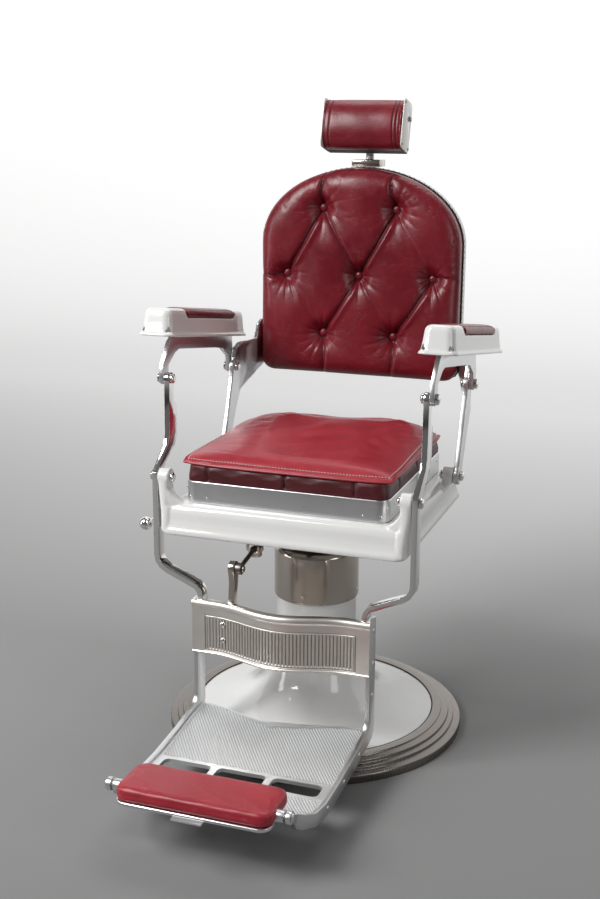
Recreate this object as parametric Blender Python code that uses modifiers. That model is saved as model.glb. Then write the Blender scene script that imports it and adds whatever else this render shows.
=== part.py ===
"""Hydraulic barber chair with a reclining back, linked legrest and flip footpad.

Metres, +Z up.  The origin is on the pedestal's axis at floor level.  The sitter faces -Y, and the
sitter's left is +X.  The back leans and the legrest rises together: seat ears, back brackets, arm
brackets and lever straps form a parallelogram on each side.
"""
import math

import bmesh
import bpy
from mathutils import Matrix, Vector

# ---------------------------------------------------------------- driving dimensions (metres)
GAP = 0.0003                 # gap between pieces that touch
RUN = 0.0003                 # running clearance of pins in holes
BASE_STEPS = 40              # facets round the pedestal's nested pieces

BASE_RADIUS = 0.330
RING_INNER_RADIUS = 0.266
RING_LEDGE_RADIUS = 0.255
RING_TOP = 0.040
RING_LEDGE_TOP = 0.030
BASE_PLATE_BOTTOM = 0.0
BASE_PLATE_THICKNESS = 0.008
COLUMN_RADIUS = 0.0895
COLUMN_BORE_RADIUS = 0.0785
COLUMN_TOP = 0.400
COLLAR_RADIUS = 0.094
COLLAR_BOTTOM = 0.301
COLLAR_TOP = 0.420
CYLINDER_RADIUS = 0.060
CYLINDER_BORE_RADIUS = 0.0452
RAM_RADIUS = 0.040
PISTON_HEIGHT = 0.030
BEARING_RADIUS = 0.060
BEARING_HEIGHT = 0.007
BEARING_BOTTOM = 0.4215
HUB_RADIUS = 0.064
HUB_CAP = 0.050

FRAME_HALF_WIDTH = 0.2645
FRAME_FRONT = -0.2475
FRAME_REAR = 0.2525
FRAME_BOTTOM = 0.481
DECK_TOP = 0.5478
DECK_THICKNESS = 0.0078
DECK_OPENING = 0.120
FRAME_CORNER = 0.040
BAND_HALF_WIDTH = FRAME_HALF_WIDTH - 0.047
BAND_FRONT = FRAME_FRONT + 0.033
BAND_REAR = FRAME_REAR - 0.023
BAND_TOP = 0.595
BAND_WALL = 0.0025
BAND_CORNER = 0.035
BOARD_THICKNESS = 0.008
BOX_CUSHION_TOP = 0.633
PAD_HALF_WIDTH = BAND_HALF_WIDTH + 0.0145
PAD_FRONT = BAND_FRONT + 0.0085
PAD_REAR = BAND_REAR - 0.0345
PAD_EDGE = 0.006
PAD_CROWN = 0.684
PAD_FLANK = 0.045         # width of the sloping sides of the loose pad

# linkage pivots as (y, z) on both sides, and the planes of its straps
FRONT_EAR = (-0.219, 0.600)
REAR_EAR = (0.138, 0.562)
ARM_FRONT = (-0.155, 0.796)
ARM_REAR = (REAR_EAR[0] + ARM_FRONT[0] - FRONT_EAR[0], REAR_EAR[1] + ARM_FRONT[1] - FRONT_EAR[1])
STRAP_INNER_X = FRAME_HALF_WIDTH + 0.010
STRAP_THICKNESS = 0.012
ARM_BRACKET_THICKNESS = 0.010
PIVOT_RADIUS = 0.006
BOLT_HEAD_RADIUS = 0.0105
BOLT_HEAD_HEIGHT = 0.008
NUT_RADIUS = 0.0115
NUT_HEIGHT = 0.0085
EAR_RADIUS = 0.0185
EAR_THICKNESS = 0.024

LEVER_DEPTH = 0.028
SIDE_STRAP_X = STRAP_INNER_X - 0.087
SIDE_STRAP_THICKNESS = 0.009
SIDE_STRAP_DEPTH = 0.038
APRON_FRONT = -0.2353
APRON_TOP = 0.343
APRON_BOTTOM = 0.2235
APRON_THICKNESS = 0.006
APRON_BOW = 0.032
APRON_FLANGE = 0.010
APRON_FLANGE_HALF = SIDE_STRAP_X - STRAP_THICKNESS - 0.008
TREAD_REAR = -0.216
TREAD_BOW = 0.0425
TREAD_FRONT = -0.580
TREAD_THICKNESS = 0.008
SLOT_REAR = -0.440
SLOT_FRONT = -0.484
KNUCKLE_OUTER_X = SIDE_STRAP_X - 0.0055
FOOTPAD_AXIS = (-0.657, 0.131)
TRAY_HALF_WIDTH = KNUCKLE_OUTER_X - 0.030
TRAY_DEPTH = 0.110
TRAY_FRONT = FOOTPAD_AXIS[0] - 0.391 * TRAY_DEPTH
TRAY_REAR = TRAY_FRONT + TRAY_DEPTH
TRAY_CORNER = 0.20 * TRAY_DEPTH
TRAY_BOTTOM = 0.114
TRAY_THICKNESS = 0.008
FOOT_CUSHION_HALF_WIDTH = TRAY_HALF_WIDTH - 0.007
FOOT_CUSHION_HEIGHT = 0.025
BARREL_RADIUS = 0.0115
BARREL_OUTER_X = TRAY_HALF_WIDTH + 0.0162

BACK_HALF_WIDTH = FRAME_HALF_WIDTH - 0.0285
BACK_BOTTOM = 0.752
BACK_SPRING = 1.047          # height at which the arch starts
BACK_TOP = 1.217
BACK_CORNER = 0.028
BACK_FRONT = 0.248           # crown of the leather
BACK_BOARD_FRONT = 0.315
BACK_REAR = 0.345
SHELL_WALL = 0.003
BRACKET_BEND = (0.222, 0.246, 0.272, 0.298)
BUTTONS = ((-0.087, 1.128), (0.087, 1.128), (-0.175, 0.975), (0.0, 0.975), (0.175, 0.975),
           (-0.085, 0.838), (0.085, 0.838))
FOLDS = ((0, 2), (0, 3), (1, 3), (1, 4), (2, 5), (3, 5), (3, 6), (4, 6))

POST_HALF_WIDTH = 0.009
POST_THICKNESS = 0.010
POST_Y = 0.3553
POST_BOTTOM = 1.000
GUIDE_BOTTOM = 1.060
GUIDE_WALL = 0.004
SOCKET_HALF_WIDTH = 0.034
SOCKET_HEIGHT = 0.0165
HEADREST_PIVOT_Z = 1.268
HEADREST_TILT = math.radians(15.0)
HEADREST_CENTRE = (0.316, 1.313)
HEADREST_HALF_WIDTH = 0.0955
HEADREST_HALF_HEIGHT = 0.056
HEADREST_BULGE = 0.037
HEADREST_CASE_DEPTH = 0.028
END_PLATE_THICKNESS = 0.003
SPINDLE_RADIUS = 0.008

ARM_LENGTH = 0.455
ARM_FRONT_BOTTOM = (-0.185, 0.8895)
ARM_SLOPE = math.radians(8.7)
ARM_CENTRE_X = STRAP_INNER_X + STRAP_THICKNESS + 0.0135
ARM_SPLAY = 0.018            # how far the arms open out per metre of their length
ARM_HALF_WIDTH = 0.0405
ARM_HEIGHT = 0.059
ARM_SADDLE_START = 0.098
ARM_SADDLE_END = 0.385
ARM_SADDLE_DEPTH = 0.019
ARM_WALL = 0.005
ARM_PAD_CROWN = 0.0035

LOCK_PIN = (-0.214, 0.414)   # boss on the legrest's lug, as (y, z)
LOCK_PIVOT = (-0.120, 0.4322)
LOCK_X = -0.0985
LOCK_ROD_RADIUS = 0.005
LOCK_ROD_LENGTH = 0.260
LOCK_BORE_RADIUS = 0.0075
LOCK_EYE_RADIUS = 0.0155

ROCKER = (0.095, 0.465)      # rocker shaft of the control lever, as (y, z)
ROCKER_RADIUS = 0.008
LEVER_HUB_X = STRAP_INNER_X + STRAP_THICKNESS + 0.006
LEVER_HUB_THICKNESS = 0.016
BALL_CENTRE = Vector((-LEVER_HUB_X - 0.0425, -0.170, 0.474))
BALL_RADIUS = 0.0145

SIDES = (("left", 1), ("right", -1))

# ---------------------------------------------------------------- scene and materials
for old in list(bpy.data.objects):
    bpy.data.objects.remove(old, do_unlink=True)

scene = bpy.context.scene
PARTS = bpy.data.collections.new("hydraulic_barber_chair")
HELPERS = bpy.data.collections.new("cutters")
scene.collection.children.link(PARTS)
scene.collection.children.link(HELPERS)


def material(name, colour, roughness, metallic):
    made = bpy.data.materials.new(name)
    made.use_nodes = True
    shader = made.node_tree.nodes["Principled BSDF"]
    shader.inputs["Base Color"].default_value = (*colour, 1.0)
    shader.inputs["Roughness"].default_value = roughness
    shader.inputs["Metallic"].default_value = metallic
    made.diffuse_color = (*colour, 1.0)
    return made


LEATHER = material("red_leather", (0.27, 0.018, 0.030), 0.38, 0.0)
ENAMEL = material("white_enamel", (0.80, 0.79, 0.76), 0.18, 0.0)
CHROME = material("chrome", (0.74, 0.74, 0.75), 0.12, 1.0)
ALUMINIUM = material("polished_aluminium", (0.66, 0.66, 0.67), 0.32, 1.0)
NICKEL = material("dull_nickel", (0.40, 0.38, 0.36), 0.34, 1.0)
STEEL = material("machined_steel", (0.52, 0.52, 0.53), 0.38, 1.0)
CAST_IRON = material("cast_iron", (0.10, 0.10, 0.10), 0.65, 0.6)
WOOD = material("plywood", (0.46, 0.32, 0.19), 0.70, 0.0)


# ---------------------------------------------------------------- modelling helpers
def place(obj, finish, parts=True):
    (PARTS if parts else HELPERS).objects.link(obj)
    if finish is not None:
        obj.data.materials.clear()
        obj.data.materials.append(finish)
    if not parts:
        obj.hide_render = True
        obj.display_type = "WIRE"
    return obj


def from_bmesh(name, bm, finish, parts=True, smooth=35.0):
    bmesh.ops.recalc_face_normals(bm, faces=bm.faces)
    mesh = bpy.data.meshes.new(name)
    bm.to_mesh(mesh)
    bm.free()
    mesh.shade_smooth()
    mesh.set_sharp_from_angle(angle=math.radians(smooth))
    return place(bpy.data.objects.new(name, mesh), finish, parts)


def box(name, low, high, finish, parts=True):
    low, high = Vector(low), Vector(high)
    bm = bmesh.new()
    bmesh.ops.create_cube(bm, size=1.0)
    bmesh.ops.scale(bm, vec=high - low, verts=bm.verts)
    bmesh.ops.translate(bm, vec=(high + low) / 2, verts=bm.verts)
    return from_bmesh(name, bm, finish, parts)


def add_cylinder(bm, start, end, radius, segments=20, end_radius=None):
    start, end = Vector(start), Vector(end)
    axis = end - start
    turn = axis.to_track_quat("Z", "Y").to_matrix().to_4x4()
    where = Matrix.Translation((start + end) / 2) @ turn
    bmesh.ops.create_cone(bm, cap_ends=True, segments=segments, radius1=radius,
                          radius2=radius if end_radius is None else end_radius,
                          depth=axis.length, matrix=where)


def cylinder(name, start, end, radius, finish, parts=True, segments=20):
    bm = bmesh.new()
    add_cylinder(bm, start, end, radius, segments)
    return from_bmesh(name, bm, finish, parts)


def turned(name, profile, finish, steps=40, parts=True):
    """Closed profile of (radius, height) points, running down its outer side, turned about Z."""
    mesh = bpy.data.meshes.new(name)
    points = [(radius, 0.0, height) for radius, height in profile]
    edges = [(i, i + 1) for i in range(len(points) - 1)]
    if profile[0][0] > 0.0 or profile[-1][0] > 0.0:
        edges.append((len(points) - 1, 0))
    mesh.from_pydata(points, edges, [])
    obj = place(bpy.data.objects.new(name, mesh), finish, parts)
    screw = obj.modifiers.new("turn", "SCREW")
    screw.steps = steps
    screw.render_steps = steps
    screw.use_merge_vertices = True
    screw.merge_threshold = 0.00005
    screw.use_smooth_shade = True
    return obj


def turned_x(name, side, y, z, profile, finish, steps=20, parts=True):
    """Turned piece whose heights run outwards along X on its side of the chair."""
    obj = turned(name, profile, finish, steps, parts)
    obj.location = (0.0, y, z)
    obj.rotation_euler = (0.0, side * math.pi / 2, 0.0)
    return obj


def loft(name, rings, finish, closed=False, parts=True, smooth=35.0):
    """Skin rings of equal point counts; a closed loft joins its last ring to its first."""
    bm = bmesh.new()
    loops = [[bm.verts.new(point) for point in ring] for ring in rings]
    count = len(rings[0])
    pairs = list(zip(loops, loops[1:]))
    if closed:
        pairs.append((loops[-1], loops[0]))
    for lower, upper in pairs:
        for i in range(count):
            j = (i + 1) % count
            bm.faces.new((lower[i], lower[j], upper[j], upper[i]))
    if not closed:
        bm.faces.new(loops[0])
        bm.faces.new(loops[-1])
    return from_bmesh(name, bm, finish, parts, smooth)


def plate_x(name, outline, low_x, high_x, finish, holes=(), parts=True):
    """Flat plate in the YZ plane from a (y, z) outline; holes are (y, z, radius)."""
    curve = bpy.data.curves.new(name, "CURVE")
    curve.dimensions = "2D"
    curve.fill_mode = "BOTH"
    curve.extrude = (high_x - low_x) / 2
    loops = [outline]
    for y, z, radius in holes:
        loops.append(circle(y, z, radius, 16))
    for loop in loops:
        spline = curve.splines.new("POLY")
        spline.points.add(len(loop) - 1)
        for point, (y, z) in zip(spline.points, loop):
            point.co = (y, z, 0.0, 1.0)
        spline.use_cyclic_u = True
    holder = bpy.data.objects.new(name + "_outline", curve)
    scene.collection.objects.link(holder)
    bpy.context.view_layer.update()
    graph = bpy.context.evaluated_depsgraph_get()
    mesh = bpy.data.meshes.new_from_object(holder.evaluated_get(graph))
    bpy.data.objects.remove(holder, do_unlink=True)
    bpy.data.curves.remove(curve)
    bm = bmesh.new()
    bm.from_mesh(mesh)
    bpy.data.meshes.remove(mesh)
    bmesh.ops.remove_doubles(bm, verts=bm.verts, dist=0.00002)
    middle = (low_x + high_x) / 2
    for vert in bm.verts:
        y, z, depth = vert.co
        vert.co = (middle + depth, y, z)
    return from_bmesh(name, bm, finish, parts)


def circle(y, z, radius, count):
    return [(y + radius * math.cos(2 * math.pi * i / count),
             z + radius * math.sin(2 * math.pi * i / count)) for i in range(count)]


def arc(centre, radius, start, end, count):
    """Points of an arc in a plane, angles in degrees, both ends included."""
    points = []
    for i in range(count):
        angle = math.radians(start + (end - start) * i / (count - 1))
        points.append((centre[0] + radius * math.cos(angle), centre[1] + radius * math.sin(angle)))
    return points


def rounded_rectangle(low_a, high_a, low_b, high_b, radius, corner=5):
    """Outline of (a, b) points, anticlockwise from the low a, low b corner."""
    points = []
    points += arc((low_a + radius, low_b + radius), radius, 180, 270, corner)
    points += arc((high_a - radius, low_b + radius), radius, 270, 360, corner)
    points += arc((high_a - radius, high_b - radius), radius, 0, 90, corner)
    points += arc((low_a + radius, high_b - radius), radius, 90, 180, corner)
    return points


def boolean(obj, other, operation):
    step = obj.modifiers.new(operation.lower(), "BOOLEAN")
    step.operation = operation
    step.solver = "EXACT"
    step.object = other
    return obj


def cut(obj, *cutters):
    for cutter in cutters:
        boolean(obj, cutter, "DIFFERENCE")
    return obj


def join(obj, *pieces):
    for piece in pieces:
        boolean(obj, piece, "UNION")
    return obj


def bevel(obj, width, segments=2, angle=40.0):
    step = obj.modifiers.new("rounded edges", "BEVEL")
    step.width = width
    step.segments = segments
    step.limit_method = "ANGLE"
    step.angle_limit = math.radians(angle)
    step.harden_normals = False
    return obj


def drop_skirt(bm, where, border=None):
    """Extrude an open sheet's border once and put its new points where the rule says."""
    if border is None:
        border = [edge for edge in bm.edges if edge.is_boundary]
    made = bmesh.ops.extrude_edge_only(bm, edges=border)["geom"]
    for item in made:
        if isinstance(item, bmesh.types.BMVert):
            item.co = where(item.co)
    return [item for item in made if isinstance(item, bmesh.types.BMEdge) and item.is_boundary]


def smoothstep(value, low, high):
    share = min(max((value - low) / (high - low), 0.0), 1.0)
    return share * share * (3.0 - 2.0 * share)


def bump(x, half_width):
    """One smooth wave crest, 1 at the middle and 0 beyond its half width."""
    if abs(x) >= half_width:
        return 0.0
    return 0.5 * (1.0 + math.cos(math.pi * x / half_width))


# ---------------------------------------------------------------- pedestal
def make_pedestal():
    turned("base_ring", (
        (RING_INNER_RADIUS, RING_TOP), (0.286, RING_TOP + 0.0005), (0.296, 0.0365), (0.300, 0.0310),
        (0.3125, 0.0290), (0.3165, 0.0220), (0.3260, 0.0180), (BASE_RADIUS, 0.0120),
        (BASE_RADIUS, 0.0), (RING_LEDGE_RADIUS, 0.0), (RING_LEDGE_RADIUS, RING_LEDGE_TOP),
        (RING_INNER_RADIUS, RING_LEDGE_TOP)), ALUMINIUM, steps=BASE_STEPS)
    turned("base_plate", (
        (0.0, BASE_PLATE_BOTTOM + BASE_PLATE_THICKNESS),
        (RING_LEDGE_RADIUS - GAP, BASE_PLATE_BOTTOM + BASE_PLATE_THICKNESS),
        (RING_LEDGE_RADIUS - GAP, BASE_PLATE_BOTTOM), (0.0, BASE_PLATE_BOTTOM)), CAST_IRON, steps=BASE_STEPS)
    foot = RING_LEDGE_TOP + GAP
    rim = RING_INNER_RADIUS - GAP
    turned("pedestal_column", (
        (COLUMN_BORE_RADIUS, COLUMN_TOP), (COLUMN_RADIUS, COLUMN_TOP), (COLUMN_RADIUS, 0.175),
        (0.0925, 0.150), (0.1010, 0.122), (0.1180, 0.095), (0.1470, 0.071), (0.1900, 0.0535),
        (0.2350, 0.0435), (rim, 0.0385), (rim, foot), (0.238, foot), (0.150, 0.0530),
        (0.106, 0.0880), (COLUMN_BORE_RADIUS, 0.145)), ENAMEL, steps=BASE_STEPS)
    sleeve = COLUMN_RADIUS + GAP
    shelf = COLUMN_TOP + GAP
    turned("column_collar", (
        (RAM_RADIUS + RUN, COLLAR_TOP), (0.074, COLLAR_TOP), (0.0865, COLLAR_TOP - 0.004),
        (0.0925, COLLAR_TOP - 0.011), (COLLAR_RADIUS, COLLAR_TOP - 0.020), (COLLAR_RADIUS, COLLAR_BOTTOM),
        (sleeve, COLLAR_BOTTOM), (sleeve, shelf), (CYLINDER_RADIUS, shelf), (RAM_RADIUS + RUN, shelf)),
        NICKEL, steps=BASE_STEPS)
    cylinder_foot = BASE_PLATE_BOTTOM + BASE_PLATE_THICKNESS + GAP
    turned("hydraulic_cylinder", (
        (0.0, cylinder_foot + 0.006), (CYLINDER_BORE_RADIUS, cylinder_foot + 0.006),
        (CYLINDER_BORE_RADIUS, COLUMN_TOP), (CYLINDER_RADIUS, COLUMN_TOP), (CYLINDER_RADIUS, cylinder_foot),
        (0.0, cylinder_foot)), STEEL, steps=24)
    return cylinder_foot + 0.006 + GAP


def make_lift(piston_bottom):
    ram_top = DECK_TOP - DECK_THICKNESS - HUB_CAP
    piston_top = piston_bottom + PISTON_HEIGHT
    cylinder("ram_piston", (0, 0, piston_bottom), (0, 0, piston_top), CYLINDER_BORE_RADIUS - RUN, STEEL,
             segments=24)
    cylinder("hydraulic_ram", (0, 0, piston_top + GAP), (0, 0, ram_top), RAM_RADIUS, CHROME, segments=24)
    turned("swivel_bearing", (
        (RAM_RADIUS + GAP, BEARING_BOTTOM + BEARING_HEIGHT), (BEARING_RADIUS, BEARING_BOTTOM + BEARING_HEIGHT),
        (BEARING_RADIUS, BEARING_BOTTOM), (RAM_RADIUS + GAP, BEARING_BOTTOM)), STEEL, steps=24)
    return ram_top


# ---------------------------------------------------------------- seat
def frame_ring(inset, z, corner=5):
    outline = rounded_rectangle(-FRAME_HALF_WIDTH + inset, FRAME_HALF_WIDTH - inset, FRAME_FRONT + inset,
                                FRAME_REAR - inset, max(FRAME_CORNER - inset, 0.010), corner)
    return [(x, y, z) for x, y in outline]


def make_seat_frame():
    deck_bottom = DECK_TOP - DECK_THICKNESS
    opening = FRAME_HALF_WIDTH - DECK_OPENING
    rings = [frame_ring(inset, z) for inset, z in (
        (0.0025, FRAME_BOTTOM), (0.0, FRAME_BOTTOM + 0.005), (0.0, FRAME_BOTTOM + 0.011),
        (0.0045, FRAME_BOTTOM + 0.019), (0.0095, FRAME_BOTTOM + 0.033), (0.0125, FRAME_BOTTOM + 0.052),
        (0.0160, FRAME_BOTTOM + 0.0615), (0.0235, DECK_TOP), (opening, DECK_TOP), (opening, deck_bottom),
        (0.0240, deck_bottom), (0.0200, deck_bottom - 0.006), (0.0165, deck_bottom - 0.030),
        (0.0090, FRAME_BOTTOM))]
    frame = loft("seat_frame", rings, ENAMEL, closed=True)
    for label, side in SIDES:
        for end, (y, z) in (("front", FRONT_EAR), ("rear", REAR_EAR)):
            outer = STRAP_INNER_X - 0.001
            inner = outer - EAR_THICKNESS
            foot_z = DECK_TOP - 0.030
            foot_outer = FRAME_HALF_WIDTH - 0.0135
            ear = []
            for share, ease in ((0.0, 0.0), (0.35, 0.5), (0.70, 1.0), (1.0, 1.0)):
                height = foot_z + (z - foot_z) * share
                half = EAR_RADIUS + 0.016 * (1.0 - share) ** 2
                high_x = foot_outer + (outer - foot_outer) * ease
                low_x = high_x - EAR_THICKNESS
                ear.append([(side * low_x, y - half, height), (side * high_x, y - half, height),
                            (side * high_x, y + half, height), (side * low_x, y + half, height)])
            body = loft(f"ear_{end}_{label}", ear, None, parts=False)
            top = cylinder(f"ear_top_{end}_{label}", (side * inner, y, z), (side * outer, y, z), EAR_RADIUS,
                           None, parts=False, segments=16)
            join(frame, body, top)
            hole = cylinder(f"ear_hole_{end}_{label}", (side * (inner - 0.02), y, z),
                            (side * (outer + 0.02), y, z), PIVOT_RADIUS + RUN, None, parts=False, segments=12)
            cut(frame, hole)
    # lug that carries the rocker shaft's outer end
    y, z = ROCKER
    low_x = -FRAME_HALF_WIDTH + 0.014
    outline = [(y + 0.017, DECK_TOP - 0.003), (y - 0.017, DECK_TOP - 0.003)] + arc((y, z), 0.016, 180, 360, 9)
    join(frame, plate_x("rocker_lug", outline, low_x, low_x + 0.010, None, parts=False))
    cut(frame, cylinder("rocker_hole", (low_x - 0.03, y, z), (low_x + 0.03, y, z), ROCKER_RADIUS + RUN, None,
                        parts=False, segments=20))


def make_seat(ram_top):
    deck_bottom = DECK_TOP - DECK_THICKNESS
    hub_top = deck_bottom - GAP
    hub_bottom = BEARING_BOTTOM + BEARING_HEIGHT + GAP
    arm_end = FRAME_HALF_WIDTH - 0.026
    spider = cylinder("seat_spider", (0, 0, hub_bottom), (0, 0, hub_top), HUB_RADIUS, CAST_IRON, segments=32)
    rib_bottom = hub_top - 0.028
    join(spider,
         box("spider_arm_x", (-arm_end, -0.020, rib_bottom), (arm_end, 0.020, hub_top), None, parts=False),
         box("spider_arm_y", (-0.018, FRAME_FRONT + 0.026, rib_bottom + 0.001),
             (0.018, FRAME_REAR - 0.026, hub_top - 0.0001), None, parts=False))
    cut(spider, cylinder("spider_bore", (0, 0, hub_bottom - 0.01), (0, 0, ram_top + GAP),
                         RAM_RADIUS + RUN, None, parts=False, segments=24))

    def band_ring(inset, z):
        outline = rounded_rectangle(-BAND_HALF_WIDTH + inset, BAND_HALF_WIDTH - inset, BAND_FRONT + inset,
                                    BAND_REAR - inset, BAND_CORNER - inset, 6)
        return [(x, y, z) for x, y in outline]

    foot = DECK_TOP + GAP
    loft("seat_band", [band_ring(inset, z) for inset, z in (
        (0.0, foot), (0.0, BAND_TOP - 0.001), (0.0008, BAND_TOP), (BAND_WALL, BAND_TOP), (BAND_WALL, foot))],
        ALUMINIUM, closed=True)
    board_inset = BAND_WALL + GAP
    loft("seat_board", [band_ring(board_inset, foot), band_ring(board_inset, foot + BOARD_THICKNESS)], WOOD)


def make_seat_cushions():
    inset = BAND_WALL + 0.0004
    low_y = BAND_FRONT + inset
    high_y = BAND_REAR - inset
    half = BAND_HALF_WIDTH - inset
    bottom = DECK_TOP + BOARD_THICKNESS + 2 * GAP
    seams = (-0.39, 0.0, 0.36)    # places of the upright seams as shares of a side

    def side_ring(depth, z, channel):
        points = []
        outline = rounded_rectangle(-half, half, low_y, high_y, BAND_CORNER - inset, 5)
        dense = []
        for (ax, ay), (bx, by) in zip(outline, outline[1:] + outline[:1]):
            span = math.hypot(bx - ax, by - ay)
            pieces = max(1, round(span / 0.029))
            for i in range(pieces):
                dense.append((ax + (bx - ax) * i / pieces, ay + (by - ay) * i / pieces))
        centre_y = (low_y + high_y) / 2
        for x, y in dense:
            along = (x if abs(y - centre_y) > abs(x) else y - centre_y) / (2 * half)
            crease = max(math.exp(-((along - seam) / 0.028) ** 2) for seam in seams)
            draw = depth + channel * crease
            length = math.hypot(x, y - centre_y)
            share = 1.0 - draw / length
            points.append((x * share, centre_y + (y - centre_y) * share, z))
        return points

    top = BOX_CUSHION_TOP
    loft("seat_cushion", [side_ring(0.0030, bottom, 0.0), side_ring(0.0, bottom + 0.010, 0.0),
                          side_ring(0.0, BAND_TOP - 0.002, 0.001), side_ring(0.0020, BAND_TOP + 0.010, 0.004),
                          side_ring(0.0050, top - 0.006, 0.005), side_ring(0.0150, top, 0.001)], LEATHER,
         smooth=60.0)

    # loose pad: stitched thin edge, high crown a little behind its middle
    columns, rows = 14, 14
    base = BOX_CUSHION_TOP + GAP
    mid_y = (PAD_FRONT + PAD_REAR) / 2
    half_y = (PAD_REAR - PAD_FRONT) / 2

    def pad_point(grid_x, grid_y):
        u = math.sin(math.pi / 2 * grid_x)
        v = math.sin(math.pi / 2 * grid_y)
        pull = 1.0 - 0.030 * (1.0 - v * v) * u * u
        x = PAD_HALF_WIDTH * u * pull * (1.0 - 0.045 * v * v * v * v * u * u)
        y = mid_y + half_y * v * (1.0 - 0.045 * u * u * u * u * v * v)
        return u, v, x, y

    bm = bmesh.new()
    bmesh.ops.create_grid(bm, x_segments=columns, y_segments=rows, size=1.0)
    for vert in bm.verts:
        u, v, x, y = pad_point(vert.co.x, vert.co.y)
        side_share = min(PAD_HALF_WIDTH * (1.0 - abs(u)) / PAD_FLANK, 1.0)
        rear_share = min(half_y * (1.0 - v) / PAD_FLANK, 1.0)
        front_share = min(half_y * (1.0 + v) / PAD_FLANK, 1.0)
        flank = (1.0 - (1.0 - side_share) ** 2) * (1.0 - (1.0 - rear_share) ** 2)
        climb = 0.30 * (1.0 - (1.0 - front_share) ** 2) + 0.62 * smoothstep(v, -1.0, 0.85) + 0.08 * u * (1.0 + v) / 2
        vert.co = (x, y, base + PAD_EDGE + (PAD_CROWN - base - PAD_EDGE) * flank * climb)
    border = drop_skirt(bm, lambda co: Vector((co.x, co.y, base + 0.002)))
    border = drop_skirt(bm, lambda co: Vector((co.x * 0.93, mid_y + (co.y - mid_y) * 0.93, base)), border)
    bmesh.ops.edgeloop_fill(bm, edges=border)
    from_bmesh("seat_pad", bm, LEATHER, smooth=60.0)


# ---------------------------------------------------------------- pivots
def make_pivot(name, centre, head_x, outer_x):
    """Pivot bolt on each side: domed head inboard, shank, then washer face, nut and crown outboard."""
    crown = head_x - GAP - BOLT_HEAD_HEIGHT
    nut = outer_x + GAP
    for label, side in SIDES:
        bolt = turned_x(f"{name}_{label}", side, *centre, (
            (0.0, nut + NUT_HEIGHT), (NUT_RADIUS * 0.45, nut + NUT_HEIGHT), (NUT_RADIUS * 0.80, nut + 0.0065),
            (NUT_RADIUS * 0.80, nut + 0.0010), (PIVOT_RADIUS, nut + 0.0010), (PIVOT_RADIUS, head_x - GAP),
            (BOLT_HEAD_RADIUS, head_x - GAP), (BOLT_HEAD_RADIUS, crown + 0.003), (BOLT_HEAD_RADIUS * 0.6, crown),
            (0.0, crown)), CHROME, steps=12)
        join(bolt, cylinder(f"{name}_flats_{label}", (side * nut, *centre),
                            (side * (nut + 0.0058), *centre), NUT_RADIUS, None, parts=False, segments=6))


def make_pivots():
    ear_inner = STRAP_INNER_X - 0.001 - EAR_THICKNESS
    strap_outer = STRAP_INNER_X + STRAP_THICKNESS
    bracket_outer = strap_outer + GAP + ARM_BRACKET_THICKNESS
    make_pivot("front_ear_bolt", FRONT_EAR, ear_inner, strap_outer)
    make_pivot("rear_ear_bolt", REAR_EAR, ear_inner, strap_outer)
    make_pivot("arm_front_bolt", ARM_FRONT, STRAP_INNER_X, bracket_outer)
    make_pivot("arm_rear_bolt", ARM_REAR, STRAP_INNER_X, bracket_outer)


# ---------------------------------------------------------------- control lever and recline lock
def make_control_lever():
    y, z = ROCKER
    spider_rib = DECK_TOP - DECK_THICKNESS - GAP - 0.028
    pump = box("pump_body", (-0.045, HUB_RADIUS + GAP, z - 0.024), (0.045, y + 0.030, spider_rib - GAP),
               CAST_IRON)
    inner_end = 0.015
    bevel(pump, 0.003, 1)
    cut(pump, cylinder("pump_bore", (-0.06, y, z), (inner_end + GAP, y, z), ROCKER_RADIUS + RUN, None,
                       parts=False))
    hub_x = -LEVER_HUB_X
    cylinder("rocker_shaft", (inner_end, y, z), (hub_x + GAP, y, z), ROCKER_RADIUS, STEEL)
    lever = cylinder("control_lever", (hub_x, y, z), (hub_x - LEVER_HUB_THICKNESS, y, z), 0.0150, CHROME,
                     segments=18)
    curve = bpy.data.curves.new("lever_rod", "CURVE")
    curve.dimensions = "3D"
    curve.bevel_depth = 0.0055
    curve.bevel_resolution = 1
    curve.use_fill_caps = True
    spline = curve.splines.new("POLY")
    start = Vector((hub_x - LEVER_HUB_THICKNESS / 2, y, z))
    knee = Vector((hub_x - LEVER_HUB_THICKNESS / 2 - 0.004, y - 0.045, z + 0.002))
    neck = BALL_CENTRE + (knee - BALL_CENTRE).normalized() * (BALL_RADIUS * 0.6)
    route = (start, knee, knee.lerp(neck, 0.5), neck)
    spline.points.add(len(route) - 1)
    for point, where in zip(spline.points, route):
        point.co = (*where, 1.0)
    holder = bpy.data.objects.new("lever_rod_curve", curve)
    scene.collection.objects.link(holder)
    bpy.context.view_layer.update()
    graph = bpy.context.evaluated_depsgraph_get()
    mesh = bpy.data.meshes.new_from_object(holder.evaluated_get(graph))
    bpy.data.objects.remove(holder, do_unlink=True)
    bm = bmesh.new()
    bm.from_mesh(mesh)
    bmesh.ops.remove_doubles(bm, verts=bm.verts, dist=0.00002)
    join(lever, from_bmesh("lever_rod_solid", bm, None, parts=False))
    bm = bmesh.new()
    bmesh.ops.create_uvsphere(bm, u_segments=16, v_segments=10, radius=BALL_RADIUS,
                              matrix=Matrix.Translation(BALL_CENTRE))
    join(lever, from_bmesh("lever_ball", bm, None, parts=False, smooth=60.0))


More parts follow.
